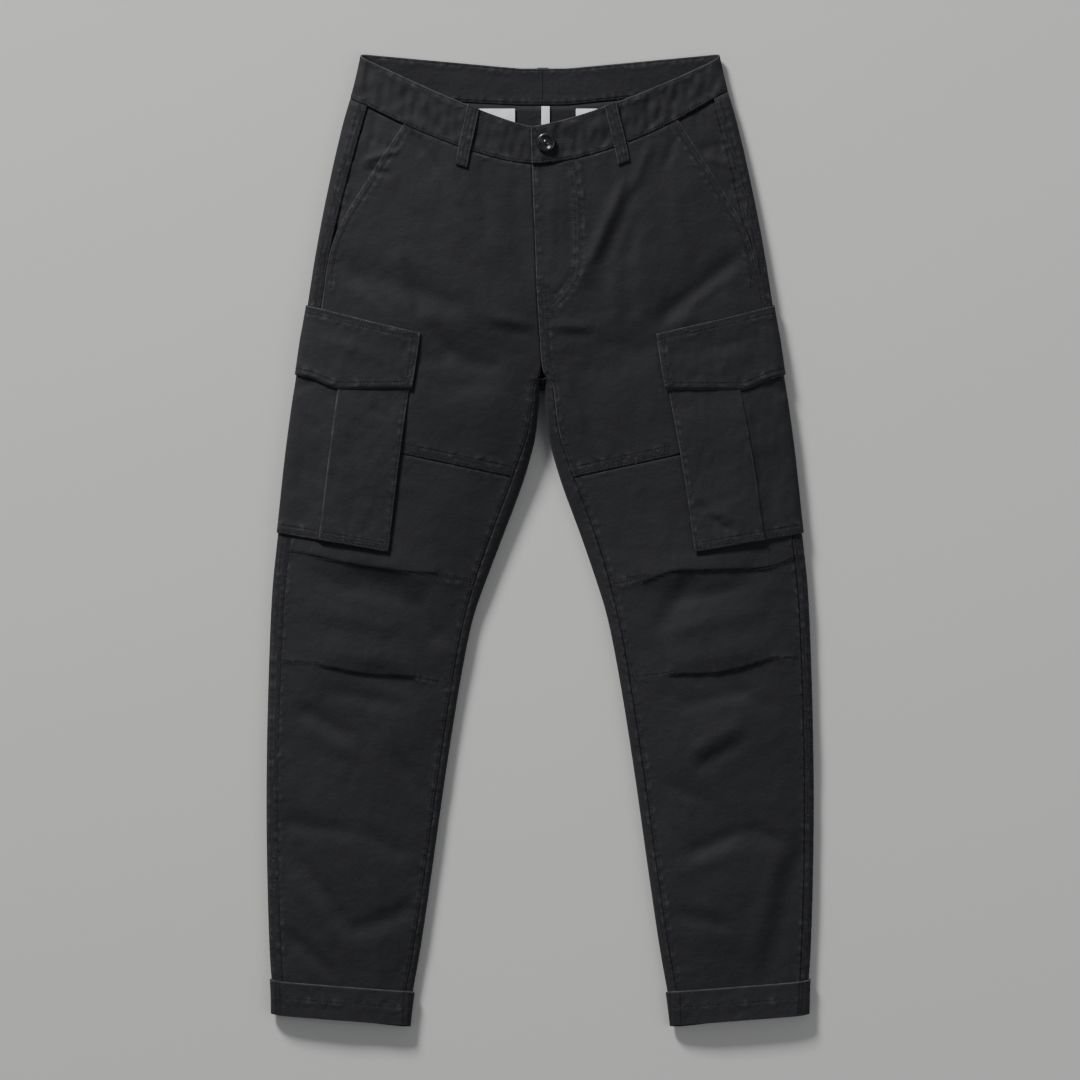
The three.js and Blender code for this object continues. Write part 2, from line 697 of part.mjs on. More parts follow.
function facing(side, front) {
  const points = [];
  const normals = [];
  for (const yInner of FACING_ROWS) {
    const i = front.rows.indexOf(yInner);
    const yOuter = rowOuter(side, yInner);
    const width = Math.abs(innerEnd(side, yInner).x - outerEnd(side, yOuter).x);
    const mouth = Math.max(slantDistance(yInner), MOUTH_MIN);
    const inRoll = rollPoint(side, yOuter, 1 / ROLL_STEPS);
    const shown = [0, 0.33, 0.66].map((share) => topPoint(side, yInner, yOuter, (share * mouth) / width));
    const tucked = slantDistance(yInner) > MOUTH_MIN ? [0, 1, 2] : [1, 2, 3];
    points.push([inRoll, ...shown, ...tucked.map((j) => front.points[i][j])]);
  }
  const grid = { points, normals: gridNormals(points, side) };
  points[0] = points[0].map((p, j) => p.clone().lerp(points[1][j], FACING_TRIM));
  return wall(grid, -CLOTH - GAP, -CLOTH - GAP - BAG_WALL);
}

// Shield behind the fly, across the middle of the front
const SHIELD_DROP = 0.5; // more room under the folds there
function flyShield(right, left) {
  const e = FRONT_COLUMNS;
  const pick = (key, i) => [
    right[key][i][e - 1],
    right[key][i][e],
    left[key][i][e],
    left[key][i][e - 1],
    left[key][i][e - 1].clone().lerp(left[key][i][e - 2], 0.8),
  ];
  const rows = FACING_ROWS.map((yInner) => right.rows.indexOf(yInner));
  const points = rows.map((i) => pick("points", i));
  const normals = rows.map((i) => pick("normals", i));
  points[0] = points[0].map((p, j) => p.clone().lerp(points[1][j], FACING_TRIM));
  const top = -CLOTH - GAP - SHIELD_DROP;
  return wall({ points, normals }, top, top - BAG_WALL);
}

// Belt loop on the front: over the band's top edge, down to below its seam
const FRONT_LOOPS = [
  // side, middle at the top, middle at the bottom
  [-1, -66, -78.5],
  [1, 70, 83.5],
];
const LOOP_BELOW = 0.8; // share of the first row of the front that the loop covers
const LOOP_OFF = [0.5, 1, 1.4, 1, 0.5]; // how far it stands off, a value a row

function readRow(row, x) {
  let j = 0;
  while (j < row.length - 2 && (row[j + 1].x - x) * (row[j].x - x) > 0) j++;
  const t = (x - row[j].x) / (row[j + 1].x - row[j].x);
  return row[j].clone().lerp(row[j + 1], t);
}

function frontLoop(band, front, xTop, xBottom) {
  const bandRows = band.points.slice(0, 3).map((row) => row.slice(BAND_BACK_COLUMNS));
  const below = front.points[0].map((p, j) => p.clone().lerp(front.points[1][j], LOOP_BELOW));
  const rows = [...bandRows, front.points[0], below];
  const points = rows.map((row, i) => {
    const x = mix(xTop, xBottom, i / (rows.length - 1));
    return [x - LOOP_WIDTH / 2, x, x + LOOP_WIDTH / 2].map((at) => readRow(row, at));
  });
  points[0].forEach((p) => (p.y += 1.2));
  const grid = { points, normals: gridNormals(points, -1) };
  return wall(grid, (i) => LOOP_OFF[i] + LOOP_WALL, (i) => LOOP_OFF[i]);
}

// Flat belt loops under the back of the waistband
const BACK_LOOPS = [
  // name, middle, top edge
  ["belt_loop_back", 3, 473],
  ["belt_loop_back_right", -104, 478.5],
  ["belt_loop_back_left", 112, 479],
];
const BACK_LOOP_LENGTH = 54;

function slab(width, length, height, x, yTop, z) {
  const geometry = new THREE.BoxGeometry(width, length, height);
  return geometry.translate(x, yTop - length / 2, z + height / 2);
}

// Lining bags of the back pockets and the bare label, inside the seat
const INSIDE_Z = WAIST_LIFT + CLOTH + 2 * GAP;
const BAG_TOP_Y = 431.5;
const BAG = { width: 128, length: 136, corner: 22 };

function pocketBag(x) {
  const { width, length, corner } = BAG;
  const shape = new THREE.Shape();
  shape.moveTo(0, 0);
  shape.lineTo(0, -length + corner);
  shape.absarc(corner, -length + corner, corner, Math.PI, Math.PI * 1.5, false);
  shape.absarc(width - corner, -length + corner, corner, Math.PI * 1.5, Math.PI * 2, false);
  shape.lineTo(width, 0);
  const options = { depth: BAG_WALL, bevelEnabled: false, curveSegments: 5 };
  const geometry = new THREE.ExtrudeGeometry(shape, options);
  return geometry.translate(x, BAG_TOP_Y, INSIDE_Z);
}

// Button with a raised rim and a small dome in its hollow
const BUTTON_AT = { x: 5.7, y: 396.3 };
const BUTTON_CLEARANCE = 0.6;
function button(band) {
  const r = BUTTON_RADIUS;
  const h = BUTTON_HEIGHT;
  const profile = [
    [0, 0],
    [r * 0.72, 0],
    [r * 0.94, h * 0.24],
    [r, h * 0.5],
    [r * 0.93, h * 0.82],
    [r * 0.8, h],
    [r * 0.66, h * 0.86],
    [r * 0.58, h * 0.5],
    [r * 0.28, h * 0.46],
    [r * 0.18, h * 0.72],
    [0, h * 0.8],
  ].map(([x, y]) => new THREE.Vector2(x, y));
  const geometry = new THREE.LatheGeometry(profile, 28);
  geometry.rotateX(Math.PI / 2);
  const row = band.points[1].slice(-4);
  const seat = readRow(row, BUTTON_AT.x).z + LAP + BUTTON_CLEARANCE;
  return geometry.translate(BUTTON_AT.x, BUTTON_AT.y, seat);
}

const bands = waistbands();
const fronts = {};
for (const [side, hand] of [
  [-1, "right"],
  [1, "left"],
]) {
  const front = frontGrid(side, [...UPPER_ROWS, ...LOWER_ROWS.slice(1)], false);
  const back = backGrid(side);
  fronts[hand] = front;
  add("front_" + hand, wall(frontGrid(side, UPPER_ROWS), 0, -CLOTH), twill);
  add("leg_front_" + hand, wall(frontGrid(side, LOWER_ROWS), 0, -CLOTH), twill);
  add("back_" + hand, wall(back, 0, -CLOTH), twill);
  add("hip_pocket_facing_" + hand, facing(side, front), twill);
  add("cargo_pocket_" + hand, cargoPocket(side, front), twill);
  add("cargo_flap_" + hand, cargoFlap(side, front), twill);
  add("hem_" + hand, hem(side, front, back), twill);
  const [, xTop, xBottom] = FRONT_LOOPS.find((row) => row[0] === side);
  add("belt_loop_front_" + hand, frontLoop(bands[hand], front, xTop, xBottom), twill);
}
add("fly_shield", flyShield(fronts.right, fronts.left), twill);
for (const [name, x, yTop] of BACK_LOOPS) {
  add(name, slab(LOOP_WIDTH, BACK_LOOP_LENGTH, LOOP_WALL, x, yTop, 0), twill);
}
add("back_pocket_bag_right", pocketBag(-153), lining);
add("back_pocket_bag_left", pocketBag(36), lining);
add("label", slab(8.2, 42, 0.8, 5.6, 434, INSIDE_Z), lining);
add("button", button(bands.left), plastic);

export default trousers;
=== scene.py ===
# %% [markdown]
# # Cargo trousers, laid flat
# A pair of cotton twill trousers lies on a table, front up. Each panel in the
# frame is a closed wall. Here it becomes thin cloth: its outer layer is taken
# as a grid, smoothed, creased and sewn with real stitches.

# %% Load the frame
import bmesh
import bpy
import numpy as np
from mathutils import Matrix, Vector, noise
from mathutils.bvhtree import BVHTree
from mathutils.kdtree import KDTree


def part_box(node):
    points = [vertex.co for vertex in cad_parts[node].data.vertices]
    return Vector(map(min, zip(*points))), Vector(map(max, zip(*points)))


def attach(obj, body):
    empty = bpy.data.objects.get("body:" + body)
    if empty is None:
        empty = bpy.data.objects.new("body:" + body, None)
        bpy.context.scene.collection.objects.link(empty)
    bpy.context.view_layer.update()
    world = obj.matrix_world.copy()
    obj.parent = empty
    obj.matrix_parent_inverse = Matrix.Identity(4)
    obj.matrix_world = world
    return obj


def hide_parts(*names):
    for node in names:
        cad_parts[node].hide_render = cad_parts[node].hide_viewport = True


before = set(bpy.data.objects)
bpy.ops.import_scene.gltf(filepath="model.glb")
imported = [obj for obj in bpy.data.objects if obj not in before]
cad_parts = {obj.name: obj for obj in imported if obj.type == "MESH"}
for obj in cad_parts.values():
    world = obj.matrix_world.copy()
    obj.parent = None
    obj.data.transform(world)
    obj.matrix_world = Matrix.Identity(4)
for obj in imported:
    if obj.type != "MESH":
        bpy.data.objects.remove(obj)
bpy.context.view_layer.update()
MM = 0.001

# %% [markdown]
# ## Camera and light
# The photograph looks straight down, with the waist at the top of the picture.
# A long lens far above keeps the outline true. The picture is 1080 mm wide at
# the height where the trousers are widest. One large soft lamp comes from the
# upper left, low enough for folds to show, and a weaker one fills the rest.

# %% Camera, lights and floor
CAMERA_HEIGHT = 8.0
PICTURE_WIDTH = 1.08
WIDEST_HEIGHT = 0.010


def add_object(name, data):
    """An object in the scene, at the origin."""
    thing = bpy.data.objects.new(name, data)
    bpy.context.collection.objects.link(thing)
    return thing


camera = add_object("camera", bpy.data.cameras.new("camera"))
camera.data.lens = camera.data.sensor_width * (CAMERA_HEIGHT - WIDEST_HEIGHT) / PICTURE_WIDTH
camera.location = (0, 0, CAMERA_HEIGHT)
camera.data.clip_end = 20
bpy.context.scene.camera = camera


def area_lamp(name, place, size, watts):
    """A square lamp that points at the middle of the trousers."""
    lamp = add_object(name, bpy.data.lights.new(name, "AREA"))
    lamp.data.size = size
    lamp.data.energy = watts
    lamp.location = place
    lamp.rotation_euler = (-Vector(place)).to_track_quat("-Z", "Y").to_euler()


area_lamp("key", (-2.4, 4.4, 2.5), 1.2, 440)
area_lamp("fill", (2.8, -0.8, 3.0), 2.5, 30)

world = bpy.data.worlds.new("studio")
world.use_nodes = True
world.node_tree.nodes["Background"].inputs["Color"].default_value = (0.9, 0.93, 1.0, 1)
world.node_tree.nodes["Background"].inputs["Strength"].default_value = 0.2
bpy.context.scene.world = world

# %% [markdown]
# ## Materials
# A colour is written as it looks on a screen and turned to linear light. One
# function adds a node, sets it and links it. Another mixes two colours.

# %% Colour and node helpers
def linear(hex_colour):
    """Screen colour such as #28292e to the linear values that a shader takes."""
    channels = [int(hex_colour[i : i + 2], 16) / 255 for i in (1, 3, 5)]
    return [c / 12.92 if c <= 0.04045 else ((c + 0.055) / 1.055) ** 2.4 for c in channels] + [1]


def add_node(tree, kind, inputs=None, **settings):
    """A node with its settings, and its inputs set to values or linked to sockets."""
    node = tree.nodes.new(kind)
    for name, value in settings.items():
        setattr(node, name, value)
    for name, value in (inputs or {}).items():
        if isinstance(value, bpy.types.NodeSocket):
            tree.links.new(value, node.inputs[name])
        else:
            node.inputs[name].default_value = value
    return node


def mixed(tree, share, first, second, **settings):
    """Colour that goes from the first to the second as the share goes from 0 to 1."""
    inputs = {0: share, 6: first, 7: second}
    return add_node(tree, "ShaderNodeMix", inputs, data_type="RGBA", **settings).outputs[2]


def grain(tree, place, millimetres, detail):
    """Noise with spots of about this size."""
    inputs = {"Vector": place, "Scale": 1000 / millimetres, "Detail": detail}
    return add_node(tree, "ShaderNodeTexNoise", inputs).outputs["Fac"]


def new_material(name):
    """An empty material with a shader, an output and a place on the piece."""
    material = bpy.data.materials.new(name)
    material.use_nodes = True
    material.node_tree.nodes.clear()
    shader = add_node(material.node_tree, "ShaderNodeBsdfPrincipled")
    add_node(material.node_tree, "ShaderNodeOutputMaterial", {"Surface": shader.outputs["BSDF"]})
    place = add_node(material.node_tree, "ShaderNodeTexCoord").outputs["Object"]
    return material, material.node_tree, shader, place


# %% [markdown]
# ## Black cotton twill
# Brushed, piece-dyed cotton twill is matt, and its short nap gives a faint
# sheen. The dye rubs off where cloth is folded or puckered, so those places
# are paler. Each panel carries two attributes. One is the distance to a worn
# edge. The other is the distance to the nearest seam, the way along it, both in
# millimetres, and how strongly that seam gathers. The shader turns the second
# into puckers beside the seam and a groove under the thread, and paints the
# groove's shade into the colour as a dark line.
# Real wales are 0.5 mm apart. Here they are 1.6 mm, as fine as the render shows.

# %% Twill
WALE = 1.6  # mm
NAP = 2.2  # mm, specks of the nap
CRUMPLE = 15  # mm, small unevenness of worn cloth
CLOUD = 55  # mm, clouds in the dye
LINT = 1.5  # mm, pale flecks
WAVE_LENGTH = 314  # mm between the bands of a wave texture of scale 1
WALE_TURN = 1.1  # radians between the wales and the panel's width
PUCKER_LENGTH = 6.5  # mm from one pucker to the next
PUCKER_REACH = 9  # mm away from the seam
PUCKER_CHANGE = 0.12  # how much of the pattern goes by for each mm away from the seam
GROOVE = -0.35  # mm, under the thread
RELIEF = {"gathers": 0.75, "nap": 0.22, "wales": 0.05, "crumple": 1.3, "cloud": 2.0}  # mm high


def twill_material(name, dark, pale, worn):
    """Twill whose dye goes from dark to pale, and to worn at the edges, with a painted dark line of
    shade along each seam.
    """
    material, tree, shader, place = new_material(name)
    seam = add_node(tree, "ShaderNodeAttribute", attribute_name="seam").outputs["Vector"]
    beside = add_node(tree, "ShaderNodeSeparateXYZ", {"Vector": seam}).outputs
    edge = add_node(tree, "ShaderNodeAttribute", attribute_name="edge").outputs["Fac"]

    def math(operation, *values):
        return add_node(tree, "ShaderNodeMath", dict(enumerate(values)), operation=operation).outputs[0]

    def ramp(value, start, end, low, high, **settings):
        inputs = {"Value": value, 1: start, 2: end, 3: low, 4: high}
        return add_node(tree, "ShaderNodeMapRange", inputs, **settings).outputs[0]

    cloud = grain(tree, place, CLOUD, 4)
    crumple = grain(tree, place, CRUMPLE, 3)
    nap = grain(tree, place, NAP, 3)
    lint = grain(tree, place, LINT, 1)
    turned = add_node(tree, "ShaderNodeMapping", {"Vector": place, "Rotation": (0, 0, WALE_TURN)})
    bands = {"Vector": turned.outputs[0], "Scale": WAVE_LENGTH / WALE, "Distortion": 1.5}
    wales = add_node(tree, "ShaderNodeTexWave", bands).outputs["Fac"]

    away = math("MULTIPLY", beside[0], PUCKER_CHANGE)
    along = math("DIVIDE", beside[1], PUCKER_LENGTH)
    stretched = add_node(tree, "ShaderNodeCombineXYZ", {0: away, 1: along})
    spots = {"Vector": stretched.outputs[0], "Scale": 1.0, "Detail": 0.5}
    pucker = add_node(tree, "ShaderNodeTexNoise", spots)
    near = ramp(beside[0], PUCKER_REACH, 1.0, 0.0, 1.0, interpolation_type="SMOOTHSTEP")
    pillows = ramp(pucker.outputs["Fac"], 0.25, 0.75, 0.0, 1.0)
    gathers = math("MULTIPLY", math("MULTIPLY", pillows, near), beside[2])
    thread_line = ramp(beside[0], 0.4, 1.5, 1.0, 0.0)

    height = math("MULTIPLY", thread_line, GROOVE)
    fields = {"gathers": gathers, "nap": nap, "wales": wales, "crumple": crumple, "cloud": cloud}
    for kind, field in fields.items():
        height = math("MULTIPLY_ADD", field, RELIEF[kind], height)
    bump = add_node(tree, "ShaderNodeBump", {"Height": height, "Distance": MM, "Strength": 0.9})

    dye = mixed(tree, cloud, linear(dark), linear(pale))
    speckled = mixed(tree, 1.0, dye, ramp(nap, 0.35, 0.7, 0.85, 1.2), blend_type="MULTIPLY")
    # Painted shade: along each line the colour darkens to 0.4, as a groove, fold or join in shadow
    # would look.
    shaded = ramp(thread_line, 0.0, 1.0, 1.0, 0.4)
    groove_shaded = mixed(tree, 1.0, speckled, shaded, blend_type="MULTIPLY")
    rubbed = ramp(edge, 1.5, 0.2, 0.0, 0.5)
    crest = ramp(gathers, 0.45, 0.85, 0.0, 0.2)
    flecks = ramp(lint, 0.7, 0.8, 0.0, 0.2)
    patchy = ramp(crumple, 0.35, 0.62, 0.3, 1.0)
    wear = math("MAXIMUM", math("MULTIPLY", math("MAXIMUM", rubbed, crest), patchy), flecks)
    colour = mixed(tree, wear, groove_shaded, linear(worn))

    tree.links.new(colour, shader.inputs["Base Color"])
    tree.links.new(ramp(nap, 0.0, 1.0, 0.7, 0.9), shader.inputs["Roughness"])
    tree.links.new(bump.outputs["Normal"], shader.inputs["Normal"])
    shader.inputs["Sheen Weight"].default_value = 0.05
    shader.inputs["Sheen Roughness"].default_value = 0.5
    shader.inputs["Specular IOR Level"].default_value = 0.3
    return material


twill = twill_material("black cotton twill", "#1a1a1d", "#212125", "#55565b")
print("material", twill.name)

# %% [markdown]
# ## Thread, pocketing, button resin and floor
# The thread is core-spun polyester, a little smoother than the cloth and nearly
# its colour. The pocket bags and the label are plain white cotton. The button
# is polyester resin turned and polished: dark, with a bright wet gloss.

# %% The other finishes
TWIST = 0.6  # mm, ridges of the thread
WEAVE = 1.2  # mm, threads of the pocketing
LINING_CREASE = 14  # mm, its small creases
LINING_CREASE_GAIN = 6.0  # how much higher they are than its threads
RESIN_CLOUD = 4  # mm
FLOOR_BELOW = 0.2  # mm under the trousers


def spun_thread():
    """Core-spun polyester: two plies whose twist shows as fine ridges."""
    material, tree, shader, place = new_material("core-spun thread")
    twist = grain(tree, place, TWIST, 2)
    colour = mixed(tree, twist, linear("#17171a"), linear("#333338"))
    bump = add_node(tree, "ShaderNodeBump", {"Height": twist, "Distance": 0.1 * MM})
    tree.links.new(colour, shader.inputs["Base Color"])
    tree.links.new(bump.outputs["Normal"], shader.inputs["Normal"])
    shader.inputs["Roughness"].default_value = 0.6
    return material


def white_pocketing():
    """Plain-woven white cotton with small creases, painted darker in their hollows as shade."""
    material, tree, shader, place = new_material("white pocketing cotton")
    weave = grain(tree, place, WEAVE, 3)
    creases_and_shade = grain(tree, place, LINING_CREASE, 2)
    # Painted shade: the colour follows the creases' height, darker in their hollows and paler on their
    # tops.
    colour = mixed(tree, creases_and_shade, linear("#d3d5dc"), linear("#f1f2f5"))
    both = {0: creases_and_shade, 1: LINING_CREASE_GAIN, 2: weave}
    height = add_node(tree, "ShaderNodeMath", both, operation="MULTIPLY_ADD")
    raised = {"Height": height.outputs[0], "Distance": 0.2 * MM, "Strength": 0.8}
    bump = add_node(tree, "ShaderNodeBump", raised)
    tree.links.new(colour, shader.inputs["Base Color"])
    tree.links.new(bump.outputs["Normal"], shader.inputs["Normal"])
    shader.inputs["Roughness"].default_value = 0.9
    shader.inputs["Sheen Weight"].default_value = 0.15
    return material


def polished_resin():
    """Turned polyester resin with faint clouds and a worn polish."""
    material, tree, shader, place = new_material("polished polyester resin")
    clouds = grain(tree, place, RESIN_CLOUD, 4)
    colour = mixed(tree, clouds, linear("#0c0c0f"), linear("#1c1d21"))
    polish = add_node(tree, "ShaderNodeMapRange", {"Value": clouds, 3: 0.2, 4: 0.36})
    scuffs = add_node(tree, "ShaderNodeBump", {"Height": clouds, "Distance": 0.05 * MM})
    tree.links.new(colour, shader.inputs["Base Color"])
    tree.links.new(polish.outputs[0], shader.inputs["Roughness"])
    tree.links.new(scuffs.outputs["Normal"], shader.inputs["Normal"])
    shader.inputs["IOR"].default_value = 1.55
    shader.inputs["Coat Weight"].default_value = 0.25
    shader.inputs["Coat Roughness"].default_value = 0.05
    return material


def pale_floor():
    """A plain painted board."""
    material, _, shader, _ = new_material("pale floor")
    shader.inputs["Base Color"].default_value = linear("#c9c8c5")
    shader.inputs["Roughness"].default_value = 0.8
    return material


thread = spun_thread()
pocketing = white_pocketing()
resin = polished_resin()


def mesh_from(bm, name):
    """A mesh made from the bmesh, which is freed."""
    mesh = bpy.data.meshes.new(name)
    bm.to_mesh(mesh)
    bm.free()
    return mesh


floor_bm = bmesh.new()
bmesh.ops.create_grid(floor_bm, x_segments=1, y_segments=1, size=4)
bmesh.ops.translate(floor_bm, verts=floor_bm.verts, vec=(0, 0, -FLOOR_BELOW * MM))
floor = add_object("floor", mesh_from(floor_bm, "floor"))
floor.data.materials.append(pale_floor())

# %% [markdown]
# ## From a wall to a sheet
# A panel's node is a closed wall of loose triangles. A merged copy is flooded
# from one face of the outer layer as far as the sharp turn at its rim, and the
# rest is deleted. Removing every diagonal leaves the four-sided cells that a
# subdivision surface smooths evenly.

# %% Outer layer of a wall
RIM_TURN = 0.35  # least cosine of the turn between neighbouring faces of one layer
LEVEL = 0.7  # least part of a normal that points up or down where the walk starts
SAME_POINT = 0.01 * MM
RIGHT_ANGLE = 1.5708


def outer_layer(node, towards, wall=None):
    """Outer layer of a panel, which faces up (1) or down (-1) at its far point.
    Where the rim turns too softly, its faces are known by sides as long as the
    wall is thick."""
    bm = bmesh.new()
    bm.from_mesh(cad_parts[node].data)
    bmesh.ops.remove_doubles(bm, verts=bm.verts, dist=SAME_POINT)
    bm.normal_update()

    def turns_off(face, other):
        if wall is None:
            return other.normal.dot(face.normal) < RIM_TURN
        return any(abs(edge.calc_length() / MM - wall) < 0.01 for edge in other.edges)

    facing = [face for face in bm.faces if face.normal.z * towards > LEVEL]
    start = max(facing, key=lambda face: face.calc_center_median().z * towards)
    layer = {start}
    queue = [start]
    while queue:
        face = queue.pop()
        for edge in face.edges:
            for other in edge.link_faces:
                if other not in layer and not turns_off(face, other):
                    layer.add(other)
                    queue.append(other)
    bmesh.ops.delete(bm, geom=[face for face in bm.faces if face not in layer], context="FACES")
    return bm


def first_diagonal(bm):
    """A triangle of the grid and the side of it that is a cell's diagonal."""
    for vertex in bm.verts:
        if len(vertex.link_faces) == 1:
            face = vertex.link_faces[0]
            return face, next(edge for edge in face.edges if vertex not in edge.verts)
    rim = [edge.link_faces[0] for edge in bm.edges if edge.is_boundary]

    def off_square(face):
        return min(abs(loop.calc_angle() - RIGHT_ANGLE) for loop in face.loops)

    face = min(rim, key=off_square)
    return face, max(face.edges, key=lambda edge: edge.calc_length())


def remove_diagonals(bm):
    """Join the triangles of a grid into its cells. The kinds of side follow each
    other in the same order round every triangle, so one diagonal names all."""
    face, edge = first_diagonal(bm)
    diagonals = set()
    seen = {face}
    queue = [(face, edge, 0)]
    while queue:
        face, edge, kind = queue.pop()
        edges = [loop.edge for loop in face.loops]
        at = edges.index(edge)
        for step in range(3):
            side = edges[(at + step) % 3]
            side_kind = (kind + step) % 3
            if side_kind == 0:
                diagonals.add(side)
            for other in side.link_faces:
                if other not in seen:
                    seen.add(other)
                    queue.append((other, side, side_kind))
    bmesh.ops.dissolve_edges(bm, edges=list(diagonals), use_verts=False)


def smoothed(bm, name, levels):
    """A new object with the bmesh smoothed this many times."""
    piece = add_object(name, mesh_from(bm, name))
    smooth = piece.modifiers.new("smooth", "SUBSURF")
    smooth.levels = smooth.render_levels = levels
    smooth.boundary_smooth = "PRESERVE_CORNERS"
    evaluated = piece.evaluated_get(bpy.context.evaluated_depsgraph_get())
    fine = bpy.data.meshes.new_from_object(evaluated)
    piece.modifiers.clear()
    piece.data = fine
    return piece


# %% [markdown]
# ## Rows and columns
# Seams, stitches and worn edges run along a panel's sides. They are easy to
# place once the panel's points are known as rows from the waist down, and
# columns from the outseam in. The grid is walked from one corner.

# %% Points of a sheet as a grid
def walk_rim(vertex, edge):
    """Along the rim from vertex, as far as the next corner or once round."""
    path = [vertex]
    while True:
        vertex = edge.other_vert(path[-1])
        if vertex == path[0]:
            return path
        path.append(vertex)
        if len(vertex.link_faces) == 1:
            return path
        edge = next(other for other in vertex.link_edges if other.is_boundary and other != edge)


def grid_rows(mesh):
    """Index of every point, as rows from the highest Y down."""
    bm = bmesh.new()
    bm.from_mesh(mesh)
    rim = [v for v in bm.verts if v.is_boundary]
    corners = [v for v in rim if len(v.link_faces) == 1]
    corner = max(corners or rim, key=lambda v: v.co.y)

    def runs_down(edge):
        return abs(edge.verts[0].co.y - edge.verts[1].co.y) / edge.calc_length()

    def unseen(vertex):
        others = [edge.other_vert(vertex) for edge in vertex.link_edges]
        return [other for other in others if other not in seen]

    first_edge = min((e for e in corner.link_edges if e.is_boundary), key=runs_down)
    rows = [walk_rim(corner, first_edge)]
    seen = set(rows[0])
    while True:
        below = [unseen(v) for v in rows[-1]]
        if not below[0]:
            break
        rows.append([found[0] for found in below])
        seen.update(rows[-1])
    indices = np.array([[v.index for v in row] for row in rows])
    bm.free()
    return indices


class Panel:
    """A piece of cloth with its points and normals as a grid."""

    def __init__(self, name, node, towards, levels, first, wall=None):
        bm = outer_layer(node, towards, wall)
        remove_diagonals(bm)
        self.piece = smoothed(bm, name, levels)
        self.node = node
        self.grid = grid_rows(self.piece.data)
        self.read()
        start, end = self.points[:, 0], self.points[:, -1]
        if first == "outer" and abs(start[:, 0]).mean() < abs(end[:, 0]).mean():
            self.grid = self.grid[:, ::-1]
        if first == "low" and start[:, 2].mean() > end[:, 2].mean():
            self.grid = self.grid[:, ::-1]
        self.read()

    def read(self):
        """Take points and normals from the mesh."""
        mesh = self.piece.data
        flat = np.empty(len(mesh.vertices) * 3)
        mesh.vertices.foreach_get("co", flat)
        self.points = flat.reshape(-1, 3)[self.grid]
        normals = np.empty(len(mesh.vertices) * 3)
        mesh.vertex_normals.foreach_get("vector", normals)
        self.normals = normals.reshape(-1, 3)[self.grid]

    def write(self):
        """Put changed points back, and read the new normals."""
        mesh = self.piece.data
        flat = np.empty((len(mesh.vertices), 3))
        flat[self.grid] = self.points
        mesh.vertices.foreach_set("co", flat.ravel())
        mesh.update()
        self.read()

    def attribute(self, name, kind, values):
        """Store a value for each point of the grid."""
        data = np.empty((len(self.piece.data.vertices),) + values.shape[2:])
        data[self.grid] = values
        layer = self.piece.data.attributes.new(name, kind, "POINT")
        layer.data.foreach_set("value" if kind == "FLOAT" else "vector", data.ravel())
